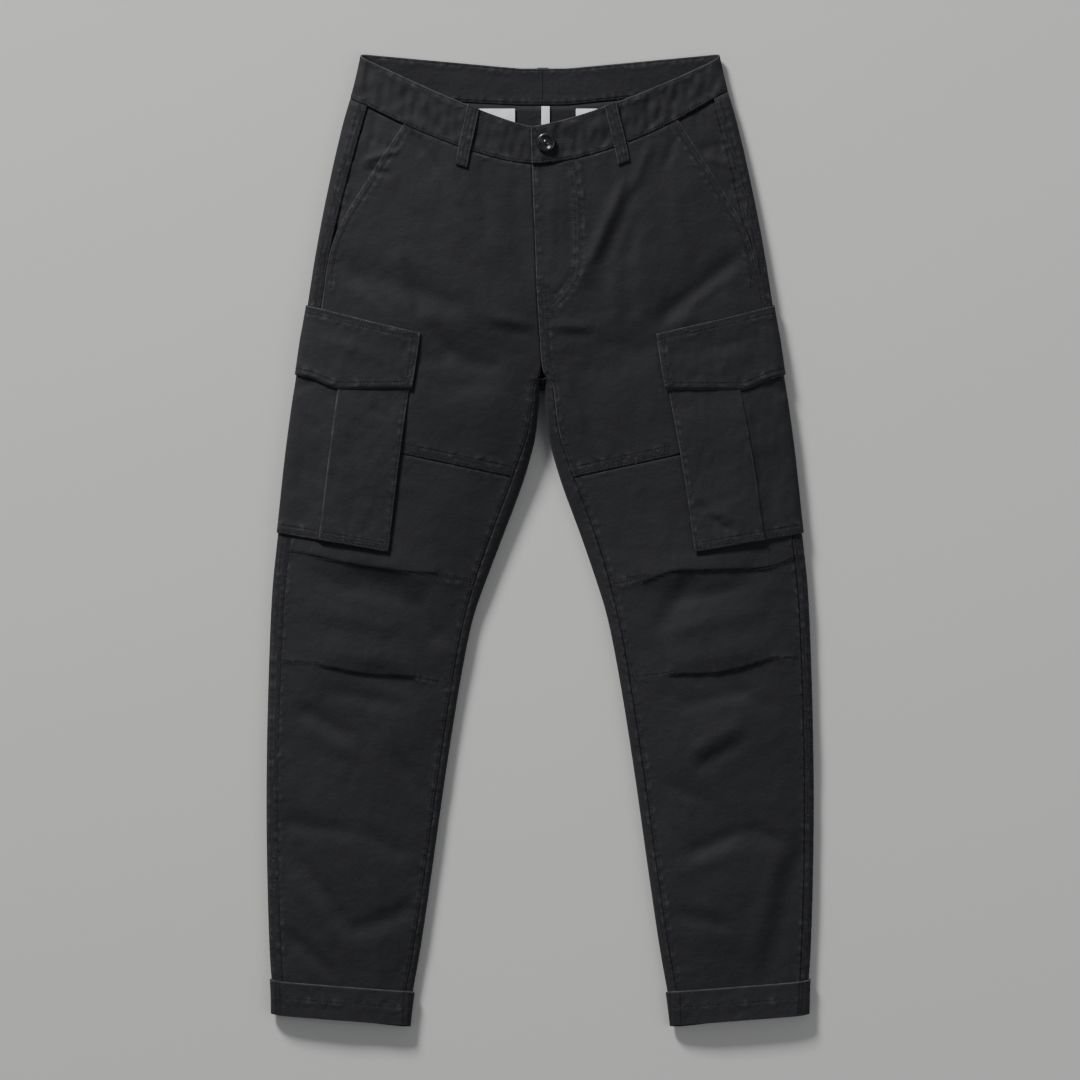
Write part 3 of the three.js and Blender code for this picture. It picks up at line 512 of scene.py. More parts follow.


# %% [markdown]
# ## Creases
# The walls hold the largest folds only. These soft troughs and ridges are placed
# from the photograph, uneven in length, depth and spacing. Every panel
# reads the same field, so cloth that lies on cloth moves with it. A fold line is
# a step: the sewn tuck over the knee stands above the cloth below it.

# %% Table of creases
CREASES = [
    # x1, y1, x2, y2, half width, height, in mm
    (-131, 278, -116, 219, 8, -1.7),
    (-116, 219, -84, 180, 9, -2.0),
    (-84, 180, -40, 172, 8, -1.2),
    (-96, 292, -70, 214, 12, 1.2),
    (-72, 214, -7, 206, 8, -0.9),
    (-48, 222, -8, 214, 6, 1.2),
    (-190, 268, -150, 232, 7, -1.2),
    (-60, 366, -52, 300, 7, -1.0),
    (-28, 360, -14, 250, 9, -1.0),
    (-104, 384, -96, 344, 4, -0.8),
    (-90, 376, -78, 330, 5, 0.7),
    (-116, 150, -40, 156, 13, -1.3),
    (84, 356, 43, 262, 6, 2.2),
    (96, 352, 62, 272, 7, -1.5),
    (98, 326, 84, 271, 8, -1.4),
    (84, 271, 95, 223, 9, -1.6),
    (70, 262, 78, 216, 7, 1.2),
    (206, 289, 117, 219, 8, -1.8),
    (200, 268, 128, 208, 8, 1.4),
    (188, 254, 150, 226, 6, -1.3),
    (8, 206, 54, 205, 7, -0.9),
    (12, 214, 50, 211, 5, 1.0),
    (14, 240, 34, 268, 3, -0.8),
    (30, 372, 34, 250, 6, -0.8),
    (12, 356, 12, 270, 5, 0.6),
    (60, 196, 112, 186, 10, -1.3),
    (24, 168, 44, 110, 6, 1.2),
    (32, 164, 56, 96, 6, -1.0),
    (130, 352, 150, 262, 8, 0.8),
    (-242, -167, -190, -197, 8, -1.6),
    (-236, -182, -186, -216, 9, 1.2),
    (-257, -282, -179, -293, 9, -1.7),
    (-179, -293, -131, -315, 9, -1.7),
    (-246, -311, -190, -393, 9, -2.0),
    (-127, -367, -190, -393, 9, -1.8),
    (-253, -393, -205, -437, 8, -1.7),
    (-230, -350, -186, -420, 10, 1.2),
    (-180, -130, -120, -150, 10, -1.0),
    (-150, -210, -112, -260, 9, -1.0),
    (154, -230, 205, -200, 8, -1.6),
    (150, -214, 200, -184, 8, 1.3),
    (147, -315, 206, -289, 8, -1.9),
    (206, -289, 250, -305, 9, -1.7),
    (140, -332, 206, -306, 10, 1.2),
    (135, -374, 190, -385, 8, -1.6),
    (265, -286, 228, -437, 11, -1.8),
    (246, -290, 210, -420, 10, 1.3),
    (120, -240, 168, -262, 8, -1.0),
    (176, -140, 236, -170, 9, -1.0),
    (-210, -44, -120, -66, 8, -1.2),
    (-220, -70, -130, -92, 9, 1.0),
    (-214, -150, -130, -166, 8, -1.2),
    (214, -44, 120, -66, 8, -1.2),
    (220, -70, 130, -92, 9, 1.0),
    (214, -148, 140, -166, 8, -1.2),
    (158, 38, 172, 22, 3, -1.2),
    (172, 22, 187, 10, 3, -1.3),
    (164, 28, 180, 24, 3, 1.0),
    (176, 34, 190, 16, 4, 0.9),
    (-196, 40, -186, 14, 5, -0.8),
    (-190, 110, -180, 40, 6, -0.6),
    (216, 120, 222, 40, 7, -0.8),
    (238, 90, 226, 20, 8, -1.0),
    (-240, 80, -232, 10, 8, -0.8),
    (-150, 120, -170, 132, 5, -0.8),
    (-216, 200, -160, 186, 7, 0.7),
    (222, 204, 160, 186, 7, -0.7),
    (-250, 150, -226, 158, 5, -1.0),
    (246, 146, 226, 156, 5, -1.0),
    (-172, 402, -146, 390, 4, -1.2),
    (-177, 379, -140, 389, 3, 1.8),
    (-174, 371, -150, 365, 3, -1.6),
    (-166, 400, -150, 392, 5, 1.2),
    (160, 390, 186, 396, 4, -1.2),
    (166, 382, 194, 374, 4, 1.6),
    (-205, 278, -60, 224, 14, -2.6),
    (-190, -34, -130, -52, 12, -2.0),
    (-130, -52, -100, -106, 11, -2.4),
    (150, -40, 116, -94, 11, -1.9),
    (-160, 384, -120, 330, 14, 1.2),
    (-128, 408, -118, 384, 4, -1.4),
    (-120, 404, -104, 366, 4, -1.2),
    (112, 398, 92, 350, 5, 1.2),
    (136, 404, 124, 372, 5, -1.2),
]
TUCKS = [
    # x1, y1, x2, y2, height, in mm: the side with more Y stands above
    (-250, -12, -230, -15, 1.2),
    (-230, -15, -193, -24, 2.0),
    (-193, -24, -141, -32, 2.0),
    (-141, -32, -102, -34, 1.2),
    (262, -16, 229, -29, 1.4),
    (229, -29, 163, -31, 2.0),
    (163, -31, 133, -31, 2.0),
    (133, -31, 103, -43, 1.3),
    (-258, -122, -218, -124, 1.0),
    (-218, -126, -174, -135, 2.0),
    (-174, -135, -125, -137, 1.8),
    (129, -135, 176, -134, 1.8),
    (176, -134, 203, -128, 2.0),
    (203, -128, 231, -119, 1.8),
    (231, -119, 258, -118, 0.9),
]


def ease(start, end, value):
    """Smooth step from 0 at start to 1 at end."""
    t = np.clip((value - start) / (end - start), 0, 1)
    return t * t * (3 - 2 * t)


def along_and_away(x, y, x1, y1, x2, y2):
    """Share of the way along a line, and distance to its left side."""
    dx, dy = x2 - x1, y2 - y1
    length = np.hypot(dx, dy)
    share = ((x - x1) * dx + (y - y1) * dy) / length**2
    away = ((y - y1) * dx - (x - x1) * dy) / length
    return share, away, length


CREASE_GAIN = 1.35
TUCK_GAIN = 0.75
TUCK_EDGE = 1.4  # mm to each side of a fold line, where the step rises
TUCK_SWELL = 12  # mm, how fast the swell behind the fold dies out
TUCK_HOLLOW = 6  # mm, how fast the hollow below it dies out
SLACK = [(34, 46, 0, 1.0), (13, 17, 7, 0.3)]  # length in x and y, layer, height, in mm
DENTS = [(8, 15, 3, 1.0)]
SEAM_HOLD = 7  # mm beside a seam that holds the cloth flat


def crease_height(x, y):
    """Height that the creases and tucks add at x, y, all in mm."""
    total = np.zeros_like(x)
    for x1, y1, x2, y2, half_width, height in CREASES:
        share, away, length = along_and_away(x, y, x1, y1, x2, y2)
        past = np.maximum(np.maximum(-share, share - 1), 0) * length
        tapered = ease(-0.15, 0.25, share) * (1 - ease(0.75, 1.15, share))
        total += CREASE_GAIN * height * tapered * np.exp(-((np.hypot(away, past) / half_width) ** 2))
    for x1, y1, x2, y2, height in TUCKS:
        share, away, length = along_and_away(x, y, x1, y1, x2, y2)
        above = away * np.sign(x2 - x1)
        fades = ease(-0.02, 0.02, share) * (1 - ease(0.98, 1.02, share))
        over = ease(-TUCK_EDGE, TUCK_EDGE, above)
        swell = over * np.exp(-np.maximum(above, 0) / TUCK_SWELL)
        hollow = 0.5 * (1 - over) * np.exp(np.minimum(above, 0) / TUCK_HOLLOW)
        total += height * fades * (swell - hollow) * TUCK_GAIN
    return total


def unevenness(x, y, waves):
    """Gentle unevenness of cloth that nobody has pressed, at x, y, all in mm."""
    values = [
        sum(noise.noise(Vector((a / u, b / v, layer))) * height for u, v, layer, height in waves)
        for a, b in zip(x.ravel(), y.ravel())
    ]
    return np.array(values).reshape(x.shape)


def crease(panel, dents=0.0):
    """Move the panel's upward cloth by the creases."""
    x, y = panel.points[..., 0] / MM, panel.points[..., 1] / MM
    upward = ease(0.15, 0.75, panel.normals[..., 2])
    rise = crease_height(x, y) + unevenness(x, y, SLACK)
    if dents:
        from_top = lane_reach(LANES_FROM["top"](panel.points))
        from_bottom = lane_reach(LANES_FROM["bottom"](panel.points))[:, ::-1]
        free = ease(0, SEAM_HOLD, np.minimum(from_top, from_bottom).T)
        rise = rise + dents * unevenness(x, y, DENTS) * free
    panel.points[..., 2] += rise * upward * MM
    panel.write()


# %% [markdown]
# ## Seams and stitches
# A seam is a line on the cloth. It follows a side of the panel at an even
# distance, or a few points that are dropped onto the cloth. The same line gives
# the shader its puckers and a painted dark line of shade, and carries the
# thread: one short spindle for each stitch, all joined into one mesh.

# %% Lines on the cloth
class Line:
    """Points and normals on the cloth, and the way along it in mm."""

    def __init__(self, points, normals, sewn=True, gathered=1.0):
        self.points = points
        self.normals = normals
        self.sewn = sewn
        self.gathered = gathered
        steps = np.linalg.norm(np.diff(points, axis=0), axis=1)
        self.way = np.concatenate([[0], np.cumsum(steps)]) / MM

    def at(self, way):
        """Points and normals at these ways along."""
        place = np.stack([np.interp(way, self.way, self.points[:, k]) for k in range(3)], axis=1)
        normal = np.stack([np.interp(way, self.way, self.normals[:, k]) for k in range(3)], axis=1)
        return place, normal / np.linalg.norm(normal, axis=1)[:, None]


LANES_FROM = {
    "outer": lambda grid: grid,
    "inner": lambda grid: grid[:, ::-1],
    "top": lambda grid: grid.transpose(1, 0, 2),
    "bottom": lambda grid: grid[::-1].transpose(1, 0, 2),
}


def lane_reach(lanes):
    """Distance in mm of each point along its lane."""
    steps = np.linalg.norm(np.diff(lanes, axis=1), axis=2) / MM
    return np.concatenate([np.zeros((len(lanes), 1)), np.cumsum(steps, axis=1)], axis=1)


LANE_REST = 3  # mm that a lane must have beyond its last inset


def line_up(panel, side, insets):
    """Slide points along the cloth, so that a row of them lies at each inset and
    halfway between insets, where a seam needs a crisp line."""
    lanes = LANES_FROM[side](panel.points)
    reach = lane_reach(lanes)
    usual = np.median(reach, axis=0)
    wanted = [0.0]
    for inset in sorted(insets):
        wanted += [(wanted[-1] + inset) / 2, inset] if len(wanted) > 1 else [inset]
    taken = [0]
    for inset in wanted[1:]:
        taken.append(max(int(np.abs(usual - inset).argmin()), taken[-1] + 1))
    for lane, far in zip(lanes, reach):
        if far[-1] < wanted[-1] + LANE_REST:
            continue
        moved = np.interp(far, [*far[taken], far[-1]], [*wanted, far[-1]])
        lane[:] = np.stack([np.interp(moved, far, lane[:, k]) for k in range(3)], axis=1)
    panel.write()


ALLOWANCE = 1.4  # mm of cloth that goes on under the next piece at a seam
ALLOWANCE_DROP = 0.8  # mm


def tuck_under(panel, side):
    """Carry a side on past its seam and down, so that no gap shows there."""
    lanes = LANES_FROM[side](panel.points)
    outward = lanes[:, 0] - lanes[:, 1]
    outward /= np.linalg.norm(outward, axis=1)[:, None]
    lanes[:, 0] += (outward * ALLOWANCE - np.array([0, 0, ALLOWANCE_DROP])) * MM
    panel.write()


def side_line(panel, side, inset, keep=None, sewn=True, gathered=1.0):
    """Line at this distance in mm from a side: outer, inner, top or bottom."""
    turn = LANES_FROM[side]
    lanes, lane_normals = turn(panel.points), turn(panel.normals)
    points, normals = [], []
    for lane, lane_normal, far in zip(lanes, lane_normals, lane_reach(lanes)):
        points.append([np.interp(inset, far, lane[:, k]) for k in range(3)])
        normals.append([np.interp(inset, far, lane_normal[:, k]) for k in range(3)])
    points, normals = np.array(points), np.array(normals)
    if keep:
        kept = np.array([keep(x / MM, y / MM) for x, y, _ in points])
        points, normals = points[kept], normals[kept]
    return Line(points, normals, sewn, gathered)


def dropped_line(panel, corners, sewn=True, gathered=1.0):
    """Line through these x, y in mm, rounded at its corners and laid on the cloth."""
    path = np.array(corners, dtype=float)
    for _ in range(2):
        cut = np.stack([path[:-1] * 0.75 + path[1:] * 0.25, path[:-1] * 0.25 + path[1:] * 0.75], axis=1)
        path = np.concatenate([path[:1], cut.reshape(-1, 2), path[-1:]])
    steps = np.concatenate([[0], np.cumsum(np.linalg.norm(np.diff(path, axis=0), axis=1))])
    ways = np.linspace(0, steps[-1], max(int(steps[-1] / 1.5), 2))
    if not hasattr(panel, "tree"):
        mesh = panel.piece.data
        faces = [face.vertices for face in mesh.polygons]
        panel.tree = BVHTree.FromPolygons([v.co for v in mesh.vertices], faces)
    points, normals = [], []
    for x, y in zip(np.interp(ways, steps, path[:, 0]), np.interp(ways, steps, path[:, 1])):
        place, normal, _, _ = panel.tree.ray_cast(Vector((x * MM, y * MM, 0.1)), Vector((0, 0, -1)))
        if place is not None:
            points.append(place)
            normals.append(normal)
    return Line(np.array(points), np.array(normals), sewn, gathered)


# %% Puckers and worn edges as attributes
FAR = 30.0  # mm, stored where no seam is near
MARK_STEP = 0.8  # mm between the marks that stand for a seam
NEXT_SEAM = 70  # mm between the patterns of two seams, so that they differ


def store_seams(panel, lines, worn):
    """Distance to the nearest line, way along it and how it gathers, and
    distance to the worn sides or lines."""
    lines = [line for line in lines if len(line.points) > 1]
    shape = panel.grid.shape
    seam = np.zeros(shape + (3,))
    seam[..., 0] = FAR
    marks = []
    for number, line in enumerate(lines):
        ways = np.arange(0, line.way[-1], MARK_STEP)
        places, _ = line.at(ways)
        for place, way in zip(places, ways):
            marks.append((place, way + NEXT_SEAM * number, line.gathered))
    if marks:
        tree = KDTree(len(marks))
        for index, (place, _, _) in enumerate(marks):
            tree.insert(place, index)
        tree.balance()
        for i, j in np.ndindex(shape):
            _, index, distance = tree.find(panel.points[i, j])
            seam[i, j] = (min(distance / MM, FAR), marks[index][1], marks[index][2])
    panel.attribute("seam", "FLOAT_VECTOR", seam)

    edge = np.full(shape, FAR)
    sides = {"outer": np.s_[:, 0], "inner": np.s_[:, -1], "top": np.s_[0, :], "bottom": np.s_[-1, :]}
    rim = [line.points if isinstance(line, Line) else panel.points[sides[line]] for line in worn]
    if rim:
        rim = np.concatenate(rim)
        tree = KDTree(len(rim))
        for index, place in enumerate(rim):
            tree.insert(place, index)
        tree.balance()
        for i, j in np.ndindex(shape):
            edge[i, j] = min(tree.find(panel.points[i, j])[2] / MM, FAR)
    panel.attribute("edge", "FLOAT", edge)


# %% Stitches
STITCH_PITCH = 3.4  # mm, seven or eight to the inch
STITCH_SIZE = (2.7, 0.62, 0.42)  # mm: long, wide, high


def stitch_form(size):
    """Points and faces of one spindle of thread, pointing along X."""
    bm = bmesh.new()
    bmesh.ops.create_uvsphere(bm, u_segments=5, v_segments=4, radius=0.5)
    points = np.array([(v.co.z * size[0], v.co.x * size[1], v.co.y * size[2]) for v in bm.verts]) * MM
    faces = [[v.index for v in face.verts] for face in bm.faces]
    bm.free()
    return points, faces


def sew(name, lines, pitch=STITCH_PITCH, size=STITCH_SIZE, across=False):
    """One mesh with a spindle at each stitch of these lines."""
    form, form_faces = stitch_form(size)
    points, faces = [], []
    for line in lines:
        if not line.sewn or len(line.points) < 2:
            continue
        ways = np.arange(pitch / 2, line.way[-1], pitch)
        places, normals = line.at(ways)
        ahead, _ = line.at(ways + 0.3)
        behind, _ = line.at(ways - 0.3)
        for place, normal, forward in zip(places, normals, ahead - behind):
            forward = forward / max(np.linalg.norm(forward), 1e-9)
            side = np.cross(normal, forward)
            frame_axes = np.array([side, -forward, normal] if across else [forward, side, normal])
            faces += [[index + len(points) for index in face] for face in form_faces]
            points += list(place + form @ frame_axes)
    mesh = bpy.data.meshes.new(name)
    mesh.from_pydata(points, [], faces)
    mesh.shade_smooth()
    mesh.materials.append(thread)
    piece = add_object(name, mesh)
    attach(piece, "root")
    print(name, "faces", len(faces))
    return piece


# %% [markdown]
# ## Finishing a panel
# The sheet gets its material and a thickness of one millimetre, inwards.

# %% Finish a panel
SHEET = 1.1  # mm


def finish_panel(panel, sewing=(), thickness=SHEET, material=twill):
    piece = panel.piece
    piece.data.materials.clear()
    piece.data.materials.append(material)
    piece.data.shade_smooth()
    solid = piece.modifiers.new("thickness", "SOLIDIFY")
    solid.thickness = thickness * MM
    solid.offset = -1
    solid.use_rim = True
    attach(piece, "root")
    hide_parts(panel.node)


# %% [markdown]
# ## Fronts and leg fronts
# The front carries the hip pocket's mouth, a folded edge sewn twice, and the
# two rows above the thigh seam. On the wearer's left it is also the fly: an edge
# stitch, and the curved row that holds the fly's facing.

# %% Fronts
POCKET_EDGE = 130  # mm from the middle: the cargo pocket hides what is farther out
FLY_ROW = [(31, 375), (34, 350), (36, 320), (36.5, 290), (35, 268), (29, 254), (20, 242), (9, 231)]
FLY_TACK = [(-3, 257), (4, 257), (11, 252)]
KNEE_SEWN = {
    "right": [
        [(-102, -34), (-67, -41)],
        [(-102, -37), (-67, -44)],
        [(-258, -121), (-219, -124)],
        [(-126, -137), (-92, -144)],
    ],
    "left": [
        [(68, -43), (105, -35)],
        [(68, -46), (105, -38)],
        [(89, -139), (133, -132)],
        [(231, -118), (262, -118)],
    ],
}
# Fold lines over the knee. The shader paints a dark shadow line along each, with faint puckers.
FOLD_LINES = {
    "right": [
        [(-250, -12), (-230, -15), (-193, -24), (-141, -32), (-102, -34)],
        [(-218, -126), (-174, -135), (-126, -137)],
    ],
    "left": [
        [(260, -15), (229, -29), (163, -31), (133, -31), (103, -43)],
        [(129, -135), (176, -134), (203, -128), (231, -119)],
    ],
}

for hand in ("right", "left"):
    front = Panel(f"front_{hand}_cloth", f"front_{hand}", 1, 3, "outer")
    line_up(front, "outer", [1.4, 7.2])
    line_up(front, "inner", [2.0, 9.5])
    line_up(front, "bottom", [2.0, 9.5])
    crease(front)
    tuck_under(front, "top")
    lines = [
        side_line(front, "outer", 1.4, lambda x, y: y > 262),
        side_line(front, "outer", 7.2, lambda x, y: y > 250),
        side_line(front, "bottom", 2.0, lambda x, y: abs(x) < POCKET_EDGE),
        side_line(front, "bottom", 9.5, lambda x, y: abs(x) < POCKET_EDGE),
        side_line(front, "inner", 2.0, lambda x, y: y < 160),
        # Unsewn top line: a painted dark line of shade where the front goes under the waistband.
        side_line(front, "top", 0.0, sewn=False),
    ]
    if hand == "left":
        lines += [
            side_line(front, "inner", 2.0, lambda x, y: y > 168),
            side_line(front, "inner", 9.5, lambda x, y: 168 < y < 252),
            dropped_line(front, FLY_ROW),
            dropped_line(front, [(x + 5.5, y - 1) for x, y in FLY_ROW]),
            dropped_line(front, FLY_TACK),
        ]
    store_seams(front, lines, ["outer", "inner"] if hand == "left" else ["outer"])
    finish_panel(front, [sew(f"front_{hand}_stitches", lines)])

    leg = Panel(f"leg_front_{hand}_cloth", f"leg_front_{hand}", 1, 3, "outer")
    line_up(leg, "inner", [2.0])
    crease(leg)
    tuck_under(leg, "top")
    lines = [
        side_line(leg, "inner", 2.0, lambda x, y: y > -448),
        # Unsewn top and outer lines: a painted dark line of shade where the front above and the back
        # meet the leg.
        side_line(leg, "top", 0.0, sewn=False),
        side_line(leg, "outer", 0.0, sewn=False),
    ]
    lines += [dropped_line(leg, corners) for corners in KNEE_SEWN[hand]]
    # The fold lines are not sewn: along each, the shader paints a shadow line with faint puckers.
    lines += [dropped_line(leg, corners, sewn=False, gathered=0.15) for corners in FOLD_LINES[hand]]
    store_seams(leg, lines, [])
    finish_panel(leg, [sew(f"leg_front_{hand}_stitches", lines)])

# %% [markdown]
# ## Backs
# Each back panel rolls round the side. Beside the outseam its edge is felled:
# two rows of stitches over a strip of doubled cloth that puckers all the way
# down. Two more short rows hold the lower end of the hip pocket. The panel's
# inner side rolls up to the inseam.

# %% Backs
BACK_WALL = 1.6  # mm, thickness of the back's solid
POCKET_TACKS = (214.5, 218.5)  # mm from the middle
TACK_TOP, TACK_FOOT = 304, 266  # mm up the trousers
TACK_LEAN = 3  # mm outwards on the way down

for hand, side in (("right", -1), ("left", 1)):
    back = Panel(f"back_{hand}_cloth", f"back_{hand}", -1, 2, "outer", wall=BACK_WALL)
    line_up(back, "outer", [1.6, 7.2])
    crease(back)
    lines = [
        side_line(back, "outer", 1.6),
        side_line(back, "outer", 7.2),
        # Unsewn inner line: a painted dark line of shade along the inseam.
        side_line(back, "inner", 0.0, sewn=False),
    ]
    for x in POCKET_TACKS:
        corners = [(side * x, TACK_TOP), (side * (x + TACK_LEAN), TACK_FOOT)]
        lines.append(dropped_line(back, corners, gathered=0.5))
    store_seams(back, lines, [])
    finish_panel(back, [sew(f"back_{hand}_stitches", lines)])

# %% [markdown]
# ## Waistband
# Two layers of twill sewn near both edges. The seams pull it into short dents
# from top to bottom. The worn top edge is paler.

# %% Waistband
HOLE_START, HOLE_END, HOLE_Y = 14.5, 32.5, 397.5  # buttonhole, in mm
bands = {}

for hand in ("right", "left"):
    band = Panel(f"waistband_{hand}_cloth", f"waistband_{hand}", 1, 3, "low")
    line_up(band, "top", [2.2])
    line_up(band, "bottom", [2.0])
    line_up(band, "inner", [2.2])
    crease(band, dents=2.0)
    lines = [side_line(band, "top", 2.2), side_line(band, "bottom", 2.0)]
    if hand == "left":
        lines.append(side_line(band, "inner", 2.2))
        # The buttonhole's slot: an unsewn line whose painted shade makes a dark line on the band.
        lines.append(dropped_line(band, [(HOLE_START, HOLE_Y), (HOLE_END, HOLE_Y)], False, 0.3))
    store_seams(band, lines, ["top", "inner"] if hand == "left" else ["top"])
    bands[hand] = band
    finish_panel(band, [sew(f"waistband_{hand}_stitches", lines)], thickness=1.6)

# %% [markdown]
# ## Hip pocket facing, cargo pockets, flaps and hems
# The facing shows in the pocket's mouth and is wrinkled by the hand that goes
# in. Its top goes on under the waistband. The cargo pocket's pleat is a fold
# that stands above the cloth beside it. The flap is sewn along its top and 6 mm
# in from its other sides. The turned-up hem shows one row of stitches and the
# leg's seams, turned outwards with it.

# %% Pockets and hems
PLEAT_FROM_INNER = 71.5  # mm
PLEAT_HEIGHT = 1.6  # mm
PLEAT_EDGE = 1.2  # mm over which the fold drops
PLEAT_SWELL = 45  # mm over which the cloth rises to the fold
PLEAT_LOWEST = 0.35  # share of the height that the cloth keeps farther away
SEWN_FLAT = 12  # mm over which the cloth rises from the sewn side
FLAP_ROW = 6.0  # mm
HEM_ROW = 17.0  # mm below the top of the turned-up hem
HEM_TOP, HEM_FOOT = -438, -484  # mm up the trousers
HEM_SEAMS = {
    # x and how far it leans on its way down, in mm
    "right": [(-264, 1), (-260, 1), (-135, -2), (-129, -2)],
    "left": [(129, 2), (140, 1), (260, -2), (264, -3)],
}


def raise_side(panel, side, inset, height):
    """Lift the cloth between a side and an inset, so that a fold stands there."""
    lanes = LANES_FROM[side](panel.points)
    for lane, far in zip(lanes, lane_reach(lanes)):
        swell = ease(inset - PLEAT_SWELL, inset, far)
        step = ease(inset, inset - PLEAT_EDGE, far) * (PLEAT_LOWEST + (1 - PLEAT_LOWEST) * swell)
        lane[:, 2] += height * step * ease(0, SEWN_FLAT, far) * MM
    panel.write()


for hand in ("right", "left"):
    facing = Panel(f"hip_pocket_facing_{hand}_cloth", f"hip_pocket_facing_{hand}", 1, 3, "outer")
    crease(facing, dents=1.1)
    tuck_under(facing, "top")
    # Unsewn line 12 mm in from the outer side: puckers and a painted dark line of shade.
    store_seams(facing, [side_line(facing, "outer", 12.0, sewn=False)], [])
    finish_panel(facing, thickness=0.9)

    pocket = Panel(f"cargo_pocket_{hand}_cloth", f"cargo_pocket_{hand}", 1, 3, "low")
    line_up(pocket, "inner", [1.6, PLEAT_FROM_INNER - PLEAT_EDGE, PLEAT_FROM_INNER])
    line_up(pocket, "bottom", [1.8, 8.0])
    raise_side(pocket, "inner", PLEAT_FROM_INNER, PLEAT_HEIGHT)
    crease(pocket, dents=0.5)
    lines = [
        side_line(pocket, "inner", 1.6),
        # The pleat's fold, unsewn: puckers and a painted dark line of shade along it.
        side_line(pocket, "inner", PLEAT_FROM_INNER, sewn=False, gathered=0.4),
        side_line(pocket, "bottom", 1.8),
        side_line(pocket, "bottom", 8.0),
    ]
    pleat = side_line(pocket, "inner", PLEAT_FROM_INNER - 1.0)
    store_seams(pocket, lines, ["inner", "bottom", pleat])
    sewing = [sew(f"cargo_pocket_{hand}_stitches", lines)]
    finish_panel(pocket, sewing, thickness=1.0)

    flap = Panel(f"cargo_flap_{hand}_cloth", f"cargo_flap_{hand}", 1, 3, "low")
    line_up(flap, "top", [1.5, 7.5])
    line_up(flap, "inner", [FLAP_ROW])
    line_up(flap, "bottom", [FLAP_ROW])
    crease(flap, dents=0.6)
    lines = [
        side_line(flap, "top", 1.5),
        side_line(flap, "top", 7.5),
        side_line(flap, "inner", FLAP_ROW),
        side_line(flap, "bottom", FLAP_ROW),
    ]
    store_seams(flap, lines, ["inner", "bottom", "top"])
    sewing = [sew(f"cargo_flap_{hand}_stitches", lines)]
    finish_panel(flap, sewing, thickness=1.4)

    hem = Panel(f"hem_{hand}_cloth", f"hem_{hand}", 1, 3, "none")
    crease(hem, dents=0.5)
    lines = [side_line(hem, "top", HEM_ROW)]
    # The leg's seams on the hem are not sewn here: puckers and a painted dark line of shade.
    for x, lean in HEM_SEAMS[hand]:
        corners = [(x, HEM_TOP), (x + lean, HEM_FOOT)]
        lines.append(dropped_line(hem, corners, sewn=False, gathered=0.5))
    store_seams(hem, lines, ["top"])
    finish_panel(hem, [sew(f"hem_{hand}_stitches", lines)], thickness=1.8)

# %% [markdown]
# ## Belt loops and fly shield
# A belt loop is a folded strip sewn along both edges and tacked at its lower
# end. The shield lies behind the fly's edge.

# %% Belt loops
LOOP_TACK = (1.6, 0.55, 0.4)  # mm

for hand in ("right", "left"):
    loop = Panel(f"belt_loop_front_{hand}_cloth", f"belt_loop_front_{hand}", 1, 3, "outer")
    loop_edges = [side_line(loop, "outer", 1.8), side_line(loop, "inner", 1.8)]
    loop_tack = [side_line(loop, "bottom", 3.0)]
    store_seams(loop, loop_edges + loop_tack, ["outer", "inner", "bottom"])
    sewing = [
        sew(f"belt_loop_front_{hand}_stitches", loop_edges),
        sew(f"belt_loop_front_{hand}_tack", loop_tack, 0.8, LOOP_TACK, across=True),
    ]
    finish_panel(loop, sewing, thickness=1.2)

shield = Panel("fly_shield_cloth", "fly_shield", 1, 2, "none")
crease(shield)
store_seams(shield, [], [])
finish_panel(shield, thickness=1.0)

# %% [markdown]
# ## Pieces that stay closed slabs
# The back belt loops, the white pocket bags and the label are flat strips. They
# keep the form of their solids, with rounded edges.

# %% Back loops, bags and label
SAME_PLANE = 0.02  # radians
SHARP = 0.8  # radians


def soft_slab(name, node, material, roundness):
    """A flat strip of cloth from its node, with its edges rounded."""
    bm = bmesh.new()
    bm.from_mesh(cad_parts[node].data)
    bmesh.ops.remove_doubles(bm, verts=bm.verts, dist=SAME_POINT)
    bmesh.ops.dissolve_limit(bm, angle_limit=SAME_PLANE, verts=bm.verts, edges=bm.edges)
    sharp = [edge for edge in bm.edges if edge.calc_face_angle(0) > SHARP]
    rounding = {"offset": roundness * MM, "segments": 3, "profile": 0.5}
    bmesh.ops.bevel(bm, geom=sharp, affect="EDGES", material=-1, **rounding)
    piece = add_object(name, mesh_from(bm, name))
    piece.data.shade_smooth()
    piece.data.materials.append(material)
    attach(piece, "root")
    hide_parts(node)
    return piece


for node in ("belt_loop_back", "belt_loop_back_right", "belt_loop_back_left"):
    soft_slab(f"{node}_cloth", node, twill, 0.5)
for hand in ("right", "left"):
    node = f"back_pocket_bag_{hand}"
    soft_slab(f"{node}_cloth", node, pocketing, 0.35)
soft_slab("label_cloth", "label", pocketing, 0.25)

# %% [markdown]
# ## Button and buttonhole
# The button is turned: a rim, a hollow and a small dome. Its section is drawn
# once and spun. The buttonhole runs from under it: close stitches across its
# edge, and between them a slot painted as a dark line of shade on the band.

# %% Button
FULL_TURN = 6.283185307

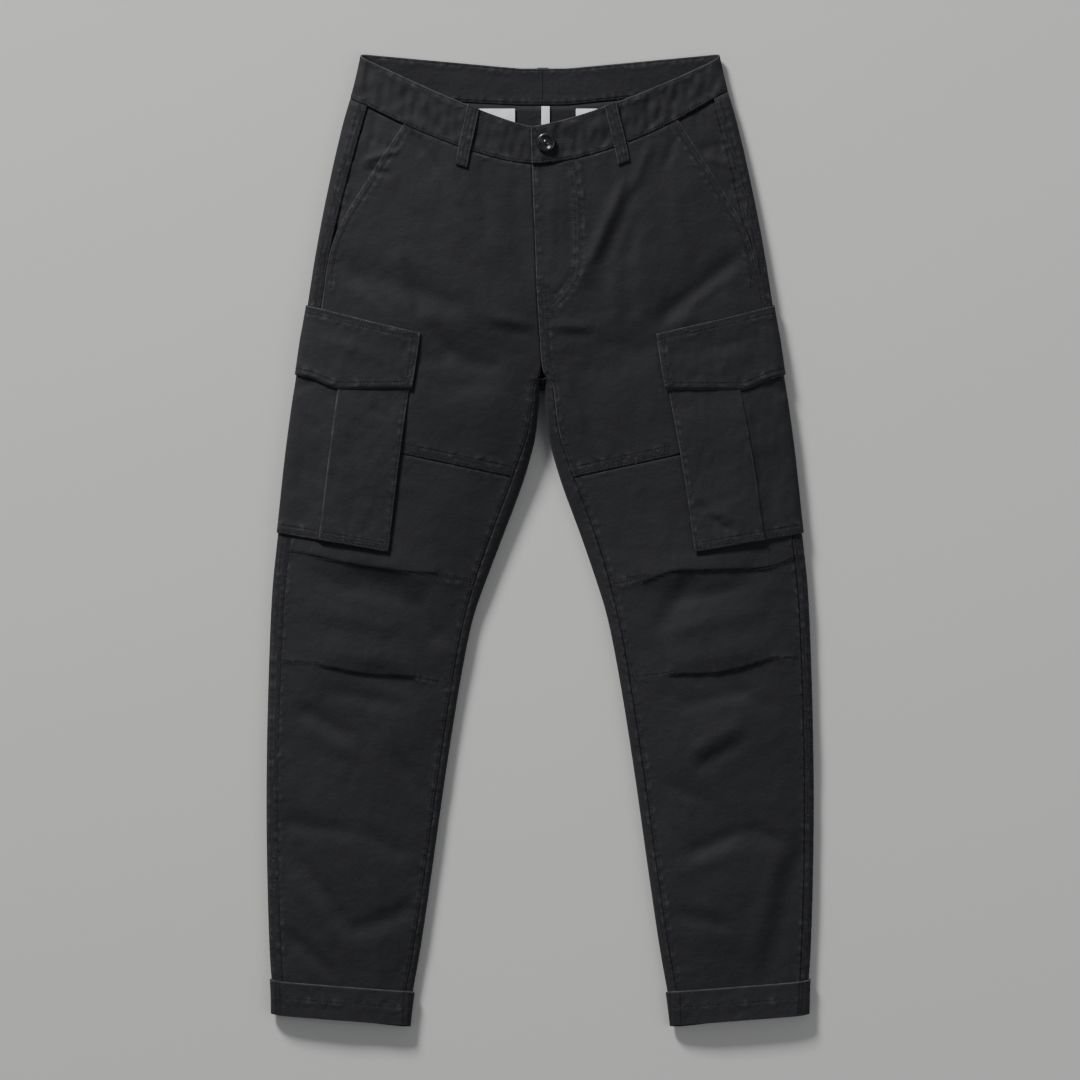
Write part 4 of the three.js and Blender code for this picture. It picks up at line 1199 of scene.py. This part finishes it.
button_low, button_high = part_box("button")
button_middle = (Vector(button_low) + Vector(button_high)) / 2
radius = (button_high[0] - button_low[0]) / 2
height = button_high[2] - button_low[2]
SECTION = [
    # share of the radius, share of the height
    (0.0, 0.0),
    (0.72, 0.0),
    (0.9, 0.14),
    (0.985, 0.34),
    (1.0, 0.54),
    (0.97, 0.74),
    (0.9, 0.92),
    (0.8, 1.0),
    (0.7, 0.96),
    (0.63, 0.76),
    (0.56, 0.5),
    (0.46, 0.42),
    (0.3, 0.42),
    (0.24, 0.56),
    (0.15, 0.7),
    (0.0, 0.76),
]
bm = bmesh.new()
ring = [bm.verts.new((a * radius, 0, b * height)) for a, b in SECTION]
edges = [bm.edges.new(pair) for pair in zip(ring, ring[1:])]
turn = {"cent": (0, 0, 0), "axis": (0, 0, 1), "dvec": (0, 0, 0), "angle": FULL_TURN, "steps": 64}
bmesh.ops.spin(bm, geom=ring + edges, use_merge=True, **turn)
bmesh.ops.remove_doubles(bm, verts=bm.verts, dist=0.001 * MM)
bmesh.ops.recalc_face_normals(bm, faces=bm.faces)
bmesh.ops.translate(bm, verts=bm.verts, vec=(button_middle.x, button_middle.y, button_low[2]))
button = add_object("button_turned", mesh_from(bm, "button_turned"))
button.data.shade_smooth()
button.data.materials.append(resin)
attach(button, "root")
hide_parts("button")
print("button mm", round(radius * 2 / MM, 1))

# %% Buttonhole
HOLE_HALF = 1.1  # mm from its middle line to its stitches
HOLE_NARROWS = 0.8  # share of that at its far end
HOLE_TIP = 1.5  # mm
HOLE_PITCH = 0.8  # mm
HOLE_STITCH = (2.0, 0.6, 0.5)  # mm: long, wide, high

hole = []
for s in (1, -1):
    near = (HOLE_START, HOLE_Y + s * HOLE_HALF)
    hole.append(dropped_line(bands["left"], [near, (HOLE_END, HOLE_Y + s * HOLE_HALF * HOLE_NARROWS)]))
tip = [(HOLE_END, HOLE_Y + HOLE_HALF), (HOLE_END + HOLE_TIP, HOLE_Y), (HOLE_END, HOLE_Y - HOLE_HALF)]
hole.append(dropped_line(bands["left"], tip))
sew("buttonhole_stitches", hole, HOLE_PITCH, HOLE_STITCH, across=True)
